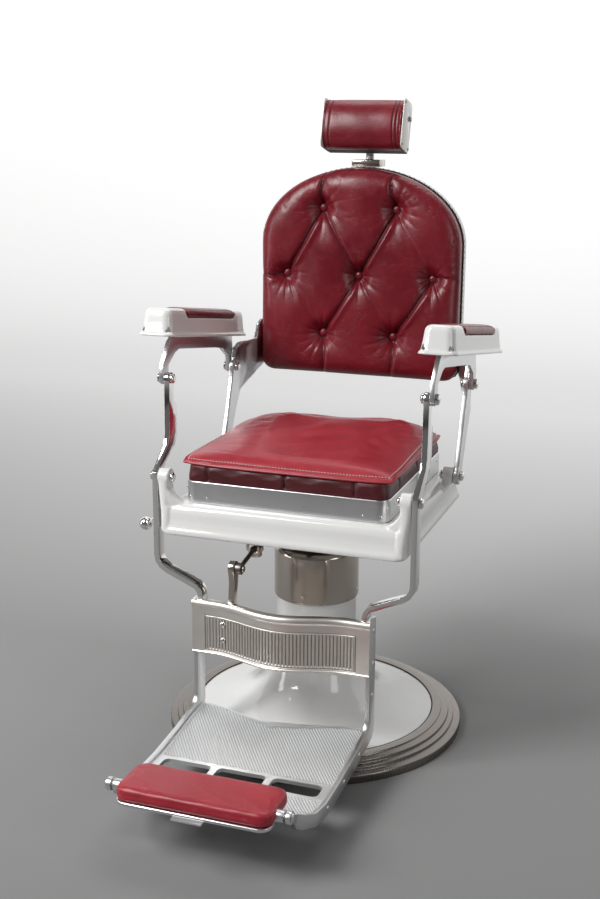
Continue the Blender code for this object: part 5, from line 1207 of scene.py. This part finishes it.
def pad_edge_distance(x, y):
    """Distance from a plan point to the pad's edge, near enough for its lip."""
    v = min(max((y - PAD_MIDDLE) / PAD_HALF_DEPTH, -1.0), 1.0)
    u = min(max(x / PAD_HALF, -1.0), 1.0)
    reach_x = PAD_HALF * (1.0 - 0.030 * (1.0 - v * v)) * (1.0 - 0.045 * v ** 4)
    reach_y = PAD_HALF_DEPTH * (1.0 - 0.045 * u ** 4)
    return min(reach_x - abs(x), reach_y - abs(y - PAD_MIDDLE))


def start_seat_pad():
    """Slab with a thin front edge that climbs towards the sitter's back, steep at its flanks."""
    bm = bmesh.new()
    bmesh.ops.create_grid(bm, x_segments=48, y_segments=48, size=1.0)
    for vert in bm.verts:
        x, y, u, v = pad_place(vert.co.x, vert.co.y)
        reach = PAD_FLANK * (1.6 if u > 0.0 else 2.6)
        side = min(PAD_HALF * (1.0 - abs(u)) / reach, 1.0)
        rear = min(PAD_HALF_DEPTH * (1.0 - v) / (PAD_FLANK * 2.0), 1.0)
        front = min(PAD_HALF_DEPTH * (1.0 + v) / PAD_FLANK, 1.0)
        flank = (1.0 - (1.0 - side) ** 2.4) * (1.0 - (1.0 - rear) ** 2.4)
        climb = 0.26 * (1.0 - (1.0 - front) ** 2) + 0.66 * smoothstep(v, -1.0, 0.70)
        climb += 0.08 * u * (1.0 + v) / 2
        vert.co = (x, y, PAD_FOOT + PAD_EDGE + (PAD_CROWN - PAD_FOOT - PAD_EDGE) * flank * climb)
    border = [edge for edge in bm.edges if edge.is_boundary]
    made = bmesh.ops.extrude_edge_only(bm, edges=border)["geom"]
    for item in made:
        if isinstance(item, bmesh.types.BMVert):
            item.co.z = PAD_FOOT + 0.0006
    lower = [item for item in made if isinstance(item, bmesh.types.BMEdge) and item.is_boundary]
    bmesh.ops.edgeloop_fill(bm, edges=lower)
    return even_mesh(from_bmesh("seat_pad_cover", bm, LIT_SEAT_RED, 60.0), 0.0044, 1)


def finish_seat_pad(piece):
    refine(piece)

    def folds(x, y):
        """Soft drag folds across the pad and puckers running in from its sewn edge."""
        warp = 0.016 * math.sin(19.0 * x + 3.0) + 0.011 * math.sin(31.0 * y + 1.3)
        long_fold = math.sin(47.0 * (y + 0.50 * x + warp)) * 0.5 + 0.5
        cross = math.sin(41.0 * (y - 0.62 * x + 1.7 * warp) + 1.1) * 0.5 + 0.5
        rear_right = math.exp(-((x - 0.10) / 0.10) ** 2 - ((y - 0.10) / 0.09) ** 2)
        rear_left = math.exp(-((x + 0.12) / 0.10) ** 2 - ((y - 0.12) / 0.08) ** 2)
        middle = math.exp(-((x - 0.01) / 0.12) ** 2 - ((y + 0.01) / 0.07) ** 2)
        fold = 0.0070 * rear_right * long_fold ** 2 + 0.0050 * rear_left * cross ** 2
        fold += 0.0034 * middle * cross
        edge = pad_edge_distance(x, y)
        pucker = math.sin(230.0 * (x if abs(x) < 0.20 else y) + 4.0 * math.sin(31.0 * x))
        return fold + 0.0006 * pucker * math.exp(-((edge - 0.020) / 0.008) ** 2)

    def shape(co):
        edge = pad_edge_distance(co.x, co.y)
        top = smoothstep(co.z, PAD_FOOT + 0.0030, PAD_FOOT + 0.0050)
        lift = folds(co.x, co.y) * smoothstep(edge, 0.012, 0.050) * top
        sewn = math.exp(-((edge - 0.0085) / 0.0016) ** 2) * top
        z = max(min(co.z + lift - 0.0012 * sewn, PAD_CROWN + 0.005), PAD_FOOT)
        # painted shade: the hide is darkened along the sewn groove inside the pad's edge
        return Vector((co.x, co.y, z - front_droop(co.y))), 0.30 * sewn

    remould(piece, shape)
    fit(piece, "seat", "leather", "seat_pad")
    tree = surface_of(piece)

    def on_pad(x, y, lift=0.0):
        hit = tree.ray_cast(Vector((x, y, 0.80)), Vector((0, 0, -1)))[0]
        return (hit if hit else Vector((x, y, PAD_FOOT + 0.005))) + Vector((0, 0, lift))

    bm = bmesh.new()
    bead = [Vector((x, y, PAD_FOOT + 0.0032 - front_droop(y))) for x, y in pad_outline(0.0004)]
    add_tube(bm, bead, 0.0026, 8, closed=True)
    fit(from_bmesh("seat_pad_piping", bm, LIT_SEAT_RED), "seat", "leather")
    bm = bmesh.new()
    route = [on_pad(x, y, 0.0009) for x, y in pad_outline(0.0085)]
    add_stitches(bm, route + route[:1], 0.0066, 0.0042, 0.0012)
    fit(from_bmesh("seat_pad_stitches", bm, THREAD), "seat", "leather")


# ---- back ----
BACK_FOLDS = (
    # from, to, depth, roll on the side that laps over
    (0, 2, 0.0115, 0.0036), (0, 3, 0.0075, 0.0016), (1, 3, 0.0125, 0.0040), (1, 4, 0.0032, 0.0),
    (3, 5, 0.0115, 0.0036), (4, 6, 0.0120, 0.0038), (2, 5, 0.0034, 0.0), (3, 6, 0.0030, 0.0))
EDGE_FOLDS = (
    (0, (-0.078, 1.217), 0.0110), (1, (0.079, 1.217), 0.0100), (2, (-0.236, 0.972), 0.0100),
    (4, (0.236, 0.975), 0.0070), (5, (-0.080, 0.744), 0.0100), (6, (0.083, 0.744), 0.0090))


def back_edge_distance(x, z):
    rise = BACK_TOP - BACK_SPRING
    side = BACK_HALF - abs(x)
    if z > BACK_SPRING:
        level = math.sqrt((x / BACK_HALF) ** 2 + ((z - BACK_SPRING) / rise) ** 2)
        side = (1.0 - level) * (rise + (BACK_HALF - rise) * abs(x) / BACK_HALF)
    return max(0.0, min(side, z - BACK_BOTTOM))


def start_back_cushion():
    """Domed front over an upright side, drawn in at its seven buttons."""
    layers = 26
    rings = [[(x, BACK_JOIN - 0.0006, z) for x, z in arch(0.0008)]]
    for n in range(layers):
        share = n / (layers - 1)
        inset = 0.058 * share ** 2.0
        roll = min(inset / 0.050, 1.0)
        crown = math.sqrt(max(0.0, 1.0 - (1.0 - roll) ** 2))
        y = BACK_JOIN - 0.034 - (BACK_JOIN - 0.034 - BACK_CROWN - 0.003) * crown
        rings.append([(x, y, z) for x, z in arch(inset - 0.0014)])
    piece = even_mesh(skin("back_tufted_cushion", rings, RED, angle=60.0), 0.0041, 2)

    def drawn_in(co):
        if co.y > BACK_JOIN - 0.020:
            return co.copy(), 0.0
        depth = 0.0
        for bx, bz in BUTTONS:
            reach = math.hypot(co.x - bx, co.z - bz)
            drawn = 0.026 * math.exp(-(reach / 0.024) ** 2) + 0.007 * math.exp(-(reach / 0.070) ** 2)
            depth = max(depth, drawn)
        return Vector((co.x, co.y + depth, co.z)), 0.0

    remould(piece, drawn_in)
    piece.data.attributes.remove(piece.data.attributes["crease"])
    return piece


def near_button(co):
    return any(math.hypot(co.x - bx, co.z - bz) < 0.0120 for bx, bz in BUTTONS)


def back_wrinkle(x, z):
    """Depth of the folds between buttons and of the puckers that run out from each button."""
    depth = 0.0
    raised = 0.0
    for a, b, strength, roll in BACK_FOLDS:
        depth_here, lap = fold_at(x, z, BUTTONS[a], BUTTONS[b], strength, roll)
        depth = max(depth, depth_here)
        raised = max(raised, lap)
    for a, end, strength in EDGE_FOLDS:
        depth_here, lap = fold_at(x, z, BUTTONS[a], end, strength, 0.0009)
        depth = max(depth, depth_here)
        raised = max(raised, lap)
    pucker = 0.0
    for n, (bx, bz) in enumerate(BUTTONS):
        reach = math.hypot(x - bx, z - bz)
        if reach > 0.085:
            continue
        angle = math.atan2(z - bz, x - bx)
        count = 13 + n % 3
        lobes = 0.5 + 0.5 * math.cos(count * angle + 1.7 * n + 0.9 * math.sin(2 * angle + n) + reach * 16.0)
        lower = 1.0 + 0.7 * math.exp(-((angle + math.pi / 2) / 0.9) ** 2)
        strength = math.exp(-((reach - 0.020) / 0.014) ** 2)
        strength += 0.45 * math.exp(-((reach - 0.044) / 0.020) ** 2)
        uneven = 0.55 + 0.45 * math.sin(2.3 * angle + 1.9 * n) * math.cos(1.1 * angle + n)
        pucker += 0.0021 * strength * lower * uneven * lobes ** 2.6
    return depth, raised, pucker


def fold_at(x, z, start, end, strength, roll):
    """Valley of a fold, narrow on its lapping side and easy on the other, and the lap's raised roll."""
    ax, az = start
    dx, dz = end[0] - ax, end[1] - az
    length = math.hypot(dx, dz)
    share = ((x - ax) * dx + (z - az) * dz) / length ** 2
    if not -0.05 < share < 1.05:
        return 0.0, 0.0
    share = min(max(share, 0.0), 1.0)
    bow = 0.006 * math.sin(math.pi * share)
    off = ((x - ax) * dz - (z - az) * dx) / length + bow
    middle = 1.0 - 0.16 * math.sin(math.pi * share)
    if off > 0.0:
        return strength * middle * math.exp(-off / 0.0080), 0.0
    lap = roll * middle * math.exp(-((off + 0.0095) / 0.0065) ** 2)
    return strength * middle * math.exp(off / 0.0026), lap


def finish_back_cushion(piece):
    refine(piece)

    def shape(co):
        edge = back_edge_distance(co.x, co.z)
        front = 1.0 - smoothstep(co.y, BACK_JOIN - 0.040, BACK_JOIN - 0.022)
        depth, raised, pucker = back_wrinkle(co.x, co.z)
        ease = (0.40 + 0.60 * smoothstep(edge, 0.0, 0.030)) * front
        y = co.y + (depth + pucker - raised) * ease
        nearest = min(math.hypot(co.x - bx, co.z - bz) for bx, bz in BUTTONS)
        pit = 1.0 - smoothstep(nearest, 0.0095, 0.0150)
        x = math.copysign(min(abs(co.x), BACK_HALF + 0.0014), co.x)
        z = min(max(co.z, BACK_BOTTOM - 0.001), BACK_TOP)
        # painted shade: the stored amount darkens the hide in deep fold valleys, faintly along shallow folds
        # and puckers, and fully in the pit round each button
        crease = max(smoothstep(depth, 0.0048, 0.0100), smoothstep(depth, 0.0018, 0.0034) * 0.25,
                     smoothstep(pucker, 0.0016, 0.0040) * 0.14, pit) * ease
        return Vector((x, max(min(y, BACK_JOIN - 0.0004), BACK_CROWN - 0.003), z)), crease

    remould(piece, shape)
    fit(piece, "backrest", "leather", "back_cushion")
    tree = surface_of(piece)
    bm = bmesh.new()
    for bx, bz in BUTTONS:
        hit = tree.ray_cast(Vector((bx, 0.10, bz)), Vector((0, 1, 0)))[0]
        y = hit.y if hit else 0.275
        profile = [(0.0, 0.0072), (0.0036, 0.0068), (0.0070, 0.0054), (0.0094, 0.0030), (0.0102, 0.0002),
                   (0.0094, -0.0026), (0.0, -0.0032)]
        add_lathe(bm, soften(profile, 0.0012, 2), 28, pointing((bx, y - 0.0030, bz), (0, -1, 0)))
    bmesh.ops.remove_doubles(bm, verts=bm.verts, dist=0.00001)
    fit(from_bmesh("back_buttons", bm, RED, 50.0), "backrest", "leather")


# ---- headrest ----
def headrest_point(x, forward, up):
    y = HEADREST_CENTRE[0] - forward * math.cos(HEADREST_TILT) + up * math.sin(HEADREST_TILT)
    z = HEADREST_CENTRE[1] + forward * math.sin(HEADREST_TILT) + up * math.cos(HEADREST_TILT)
    return Vector((x, y, z))


def headrest_front(x, up, grow=0.0):
    """Forward reach of the headrest's cover at a place on it."""
    share = min(abs(up) / (HEADREST_REACH + 0.0002), 1.0)
    ends = 1.0 - 0.09 * (abs(x) / HEADREST_HALF) ** 6
    return -0.0035 + (HEADREST_BULGE + 0.0035) * (1.0 - share * share) ** 0.40 * ends + grow


def start_headrest():
    rings = []
    for i in range(61):
        x = (HEADREST_HALF - 0.0006) * (2.0 * i / 60 - 1.0)
        ring = []
        for j in range(33):
            up = HEADREST_REACH * math.sin(math.pi * (j / 32 - 0.5))
            ring.append(headrest_point(x, headrest_front(x, up) - 0.002, up))
        ring += [headrest_point(x, -0.0094, HEADREST_REACH), headrest_point(x, -0.0094, -HEADREST_REACH)]
        rings.append(ring)
    return even_mesh(skin("headrest_cover", rings, RED, angle=60.0), 0.0030)


def finish_headrest(piece):
    refine(piece)
    rows = (-0.0775, 0.0715, 0.0800)

    def shape(co):
        groove = sum(math.exp(-((co.x - row) / 0.0013) ** 2) for row in rows)
        middle = math.exp(-((co.x - 0.002) / 0.07) ** 2)
        sag = 0.0011 * math.sin(co.x * 62.0 + co.z * 40.0) * middle
        away = headrest_point(0.0, 1.0, 0.0) - headrest_point(0.0, 0.0, 0.0)
        made = co - away * (0.0016 * groove - sag * 0.5)
        made.x = min(max(made.x, -HEADREST_HALF + 0.0002), HEADREST_HALF - 0.0002)
        # painted shade: the hide is darkened along the stitched grooves
        return made, min(0.8 * groove, 0.8)

    remould(piece, shape)
    fit(piece, "headrest", "leather", "headrest_pad")
    tree = surface_of(piece)
    forward = (headrest_point(0.0, 1.0, 0.0) - headrest_point(0.0, 0.0, 0.0)).normalized()

    def on_cover(x, up, lift=0.0):
        start = headrest_point(x, 0.15, up)
        hit = tree.ray_cast(start, -forward)[0]
        return (hit if hit else headrest_point(x, headrest_front(x, up), up)) + forward * lift

    bm = bmesh.new()
    for row in rows:
        route = [on_cover(row, -0.0535 + 0.107 * n / 60, 0.0001) for n in range(61)]
        add_stitches(bm, route, 0.0046, 0.0031, 0.0006)
    fit(from_bmesh("headrest_stitches", bm, DARK_THREAD), "headrest", "leather")
    bm = bmesh.new()
    for x in (-0.0895, 0.0895):
        add_tube(bm, [on_cover(x, -0.0550 + 0.110 * n / 40, -0.0004) for n in range(41)], 0.0022, 8)
    fit(from_bmesh("headrest_piping", bm, RED), "headrest", "leather")
    places = []
    for _, side in SIDES:
        for forward_by, up in ((0.021, 0.047), (0.021, -0.047), (-0.031, -0.047)):
            place = headrest_point(side * 0.0955, forward_by, up)
            places.append((place - Vector((side * 0.0004, 0, 0)), (side, 0, 0)))
    heads("headrest_screws", DARK_STEEL, "headrest", places, 0.0034, 0.0018)


# ---- arm pads and foot cushion ----
def start_arm_pads():
    pads = []
    floor = ARM_HEIGHT - SADDLE_DEPTH + 0.0006
    for label, side in SIDES:
        rings = []
        for n in range(41):
            share = n / 40
            along = SADDLE_START + 0.0008 + (SADDLE_END - SADDLE_START - 0.0016) * share
            ease = min(share, 1.0 - share)
            full = smoothstep(ease, -0.02, 0.045)
            top = ARM_HEIGHT - 0.004 + 0.0050 * full
            foot = floor + 0.0085 * (1.0 - smoothstep(ease, -0.004, 0.034))
            half = ARM_HALF - 0.0072
            section = ((half - 0.001, 0.0), (half + 0.0006, 0.25), (half, 0.60), (half - 0.004, 0.82),
                       (half - 0.012, 0.95), (half - 0.022, 1.0))
            ring = [arm_point(side, across, along, foot + (top - foot) * level) for across, level in section]
            ring += [arm_point(side, -across, along, foot + (top - foot) * level)
                     for across, level in reversed(section)]
            rings.append(ring)
        pads.append(even_mesh(skin(f"arm_pad_cover_{label}", rings, RED, angle=60.0), 0.0032))
    return pads


def finish_arm_pads(pads):
    for (label, side), piece in zip(SIDES, pads):
        refine(piece)
        fit(piece, f"arm_{label}", "leather", f"arm_pad_{label}")
        tree = surface_of(piece)
        bm = bmesh.new()
        for across in (-ARM_HALF + 0.0140, ARM_HALF - 0.0140):
            route = []
            for n in range(61):
                along = SADDLE_START + 0.006 + (SADDLE_END - SADDLE_START - 0.012) * n / 60
                start = arm_point(side, across, along, 0.10)
                way = arm_point(side, across, along, 0.0) - start
                hit = tree.ray_cast(start, way.normalized())[0]
                if hit:
                    route.append(hit)
            add_stitches(bm, route, 0.0050, 0.0032, 0.0006)
        fit(from_bmesh(f"arm_pad_stitches_{label}", bm, DARK_THREAD), f"arm_{label}", "leather")


def start_foot_cushion():
    base = TRAY_TOP + 0.0004
    front, rear = TRAY_FRONT + 0.003, TRAY_REAR + 0.0045
    profile = [(0.0030, 0.0), (0.0, 0.12), (-0.0010, 0.45), (-0.0006, 0.78), (0.0016, 0.97), (0.0060, 1.06),
               (0.0400, 1.09)]
    rings = []
    for inset, level in soften(profile, 0.003, 3):
        outline = level_rectangle(FOOT_HALF, front, rear, inset, max(0.024 - inset * 0.5, 0.004), 8, 0.006)
        rings.append([(x, y, base + FOOT_HEIGHT * level) for x, y in outline])
    fewest = min(len(ring) for ring in rings)
    rings = [resampled(ring, fewest) for ring in rings]
    return even_mesh(skin("foot_cushion_cover", rings, LIT_SEAT_RED, angle=60.0), 0.0028, 1)


def resampled(ring, count):
    """The same closed ring with another count of evenly spaced points."""
    points = [Vector(p) for p in ring]
    spans = [(b - a).length for a, b in zip(points, points[1:] + points[:1])]
    total = sum(spans)
    made = []
    i, travelled = 0, 0.0
    for n in range(count):
        target = total * n / count
        while travelled + spans[i] < target:
            travelled += spans[i]
            i += 1
        made.append(points[i].lerp(points[(i + 1) % len(points)], (target - travelled) / spans[i]))
    return made


def finish_foot_cushion(piece):
    refine(piece)
    base = TRAY_TOP + 0.0004
    mid_y = (TRAY_FRONT + TRAY_REAR) / 2

    def shape(co):
        ripple = 0.0005 * math.sin(46.0 * co.x + 90.0 * (co.y - mid_y))
        ripple *= smoothstep(co.z, base + 0.020, base + 0.025)
        z = max(min(co.z - abs(ripple), base + FOOT_HEIGHT + 0.0035), base)
        return Vector((min(max(co.x, -FOOT_HALF - 0.002), FOOT_HALF + 0.002), co.y, z)), 0.0

    remould(piece, shape)
    fit(piece, "footpad", "leather", "footpad_cushion")


def make_upholstery():
    box_cushion = start_box_cushion()
    pad = start_seat_pad()
    back = start_back_cushion()
    head = start_headrest()
    arms = start_arm_pads()
    foot = start_foot_cushion()
    forms = [
        (box_cushion, 0.004, 3.0, lambda co: co.z < BAND_TOP or co.z > BOX_TOP - 0.004),
        (pad, 0.005, 4.0, lambda co: co.z < BOX_TOP + 0.006 or pad_edge_distance(co.x, co.y) < 0.012),
        (back, 0.006, 5.0, lambda co: co.y > BACK_JOIN - 0.036 or near_button(co)),
        (head, 0.003, 4.0, lambda co: abs(co.x) > HEADREST_HALF - 0.004),
        (foot, 0.0008, 4.0, lambda co: co.z < TRAY_TOP + 0.006)]
    forms += [(arm, 0.0015, 4.0, lambda co: False) for arm in arms]
    swell(forms)
    finish_box_cushion(box_cushion)
    finish_seat_pad(pad)
    finish_back_cushion(back)
    finish_headrest(head)
    finish_arm_pads(arms)
    finish_foot_cushion(foot)


# ---- studio ----
CAMERA_PLACE = Vector((0.8864, -2.6059, 1.3461))
CAMERA_YAW, CAMERA_PITCH, CAMERA_ROLL = 0.3420, 0.25492, 0.00577
FOCAL_PIXELS, IMAGE_HEIGHT = 1305.25, 899
DIM_ROOM, PALE_ROOM = 0.13, 0.92


def make_camera():
    data = bpy.data.cameras.new("camera")
    data.sensor_width = 36.0
    data.lens = 36.0 * FOCAL_PIXELS / IMAGE_HEIGHT
    data.clip_start, data.clip_end = 0.05, 60.0
    camera = bpy.data.objects.new("camera", data)
    scene.collection.objects.link(camera)
    level = math.cos(CAMERA_PITCH)
    forward = Vector((-math.sin(CAMERA_YAW) * level, math.cos(CAMERA_YAW) * level, -math.sin(CAMERA_PITCH)))
    right = Vector((math.cos(CAMERA_YAW), math.sin(CAMERA_YAW), 0.0))
    up = right.cross(forward)
    level_right = math.cos(CAMERA_ROLL) * right + math.sin(CAMERA_ROLL) * up
    level_up = -math.sin(CAMERA_ROLL) * right + math.cos(CAMERA_ROLL) * up
    turn = Matrix((level_right, level_up, -forward)).transposed()
    camera.matrix_world = Matrix.Translation(CAMERA_PLACE) @ turn.to_4x4()
    scene.camera = camera


def make_stage():
    """Pale sweep from a grey floor up into a white backdrop, which cameras and metal see lit from within."""
    floor = [(-9.0, 0.0), (-3.0, 0.0), (0.0, 0.0), (2.6, 0.0), (5.6, 0.0), (5.6, 3.0), (5.6, 9.0)]
    bm = bmesh.new()
    rows = [[bm.verts.new((x, y, z)) for x in (-14.0, 14.0)] for y, z in soften(floor, 2.6, 16)]
    for lower, upper in zip(rows, rows[1:]):
        bm.faces.new((lower[0], lower[1], upper[1], upper[0]))
    finish = Finish("sweep", Roughness=0.95, Specular_IOR_Level=0.0, Emission_Strength=1.0)

    def grey(share):
        return finish.node("CombineColor", {}, {"Red": share, "Green": share, "Blue": share})

    way, height = [finish.node("SeparateXYZ", {}, {"Vector": finish.place}, output=axis) for axis in "YZ"]
    climb = way + height
    finish.to("Base Color", grey(finish.band(climb, -1.0, 3.2, 0.24, 0.60)))
    camera, glossy, through = [finish.node("LightPath", output=f"Is {ray} Ray")
                               for ray in ("Camera", "Glossy", "Transmission")]
    seen = finish.band(camera + glossy + through, 0.0, 1.0)
    glow = (finish.band(climb, 0.2, 3.2, 0.0, 0.52) + finish.band(climb, 3.2, 7.6, 0.0, 0.42)) * seen
    finish.to("Emission Color", grey(glow))
    from_bmesh("sweep", bm, finish.material, 80.0)


def add_lamp(name, place, target, size, power):
    data = bpy.data.lights.new(name, "AREA")
    data.shape = "RECTANGLE"
    data.size, data.size_y = size
    data.energy = power
    lamp = bpy.data.objects.new(name, data)
    scene.collection.objects.link(lamp)
    lamp.location = place
    lamp.rotation_euler = (Vector(target) - Vector(place)).to_track_quat("-Z", "Y").to_euler()


def make_light():
    world = bpy.data.worlds.new("studio")
    scene.world = world
    world.use_nodes = True
    tree = world.node_tree
    seen = tree.nodes.new("ShaderNodeLightPath")
    strength = DIM_ROOM + Signal(tree, seen.outputs["Is Camera Ray"]) * (PALE_ROOM - DIM_ROOM)
    background = tree.nodes["Background"]
    background.inputs["Color"].default_value = (1.0, 0.99, 0.975, 1.0)
    feed(tree, background.inputs["Strength"], strength)
    add_lamp("key", (-1.9, -2.3, 2.9), (0.0, 0.0, 0.7), (1.5, 1.9), 128.0)
    add_lamp("fill", (2.7, -1.2, 1.5), (0.0, 0.0, 0.7), (0.9, 2.0), 15.0)
    add_lamp("top", (0.1, 0.9, 3.3), (0.0, 0.0, 0.6), (2.2, 1.2), 24.0)
    add_lamp("strip", (-2.3, -0.9, 0.9), (0.0, 0.0, 0.45), (0.45, 1.7), 11.0)
    scene.view_settings.view_transform = "Standard"


# ---- build ----
make_camera()
make_stage()
make_light()
dress_solids()
make_pedestal()
make_seat_frame()
make_control_lever()
make_apron()
make_footplate()
make_back_shell()
make_armrests()
make_upholstery()
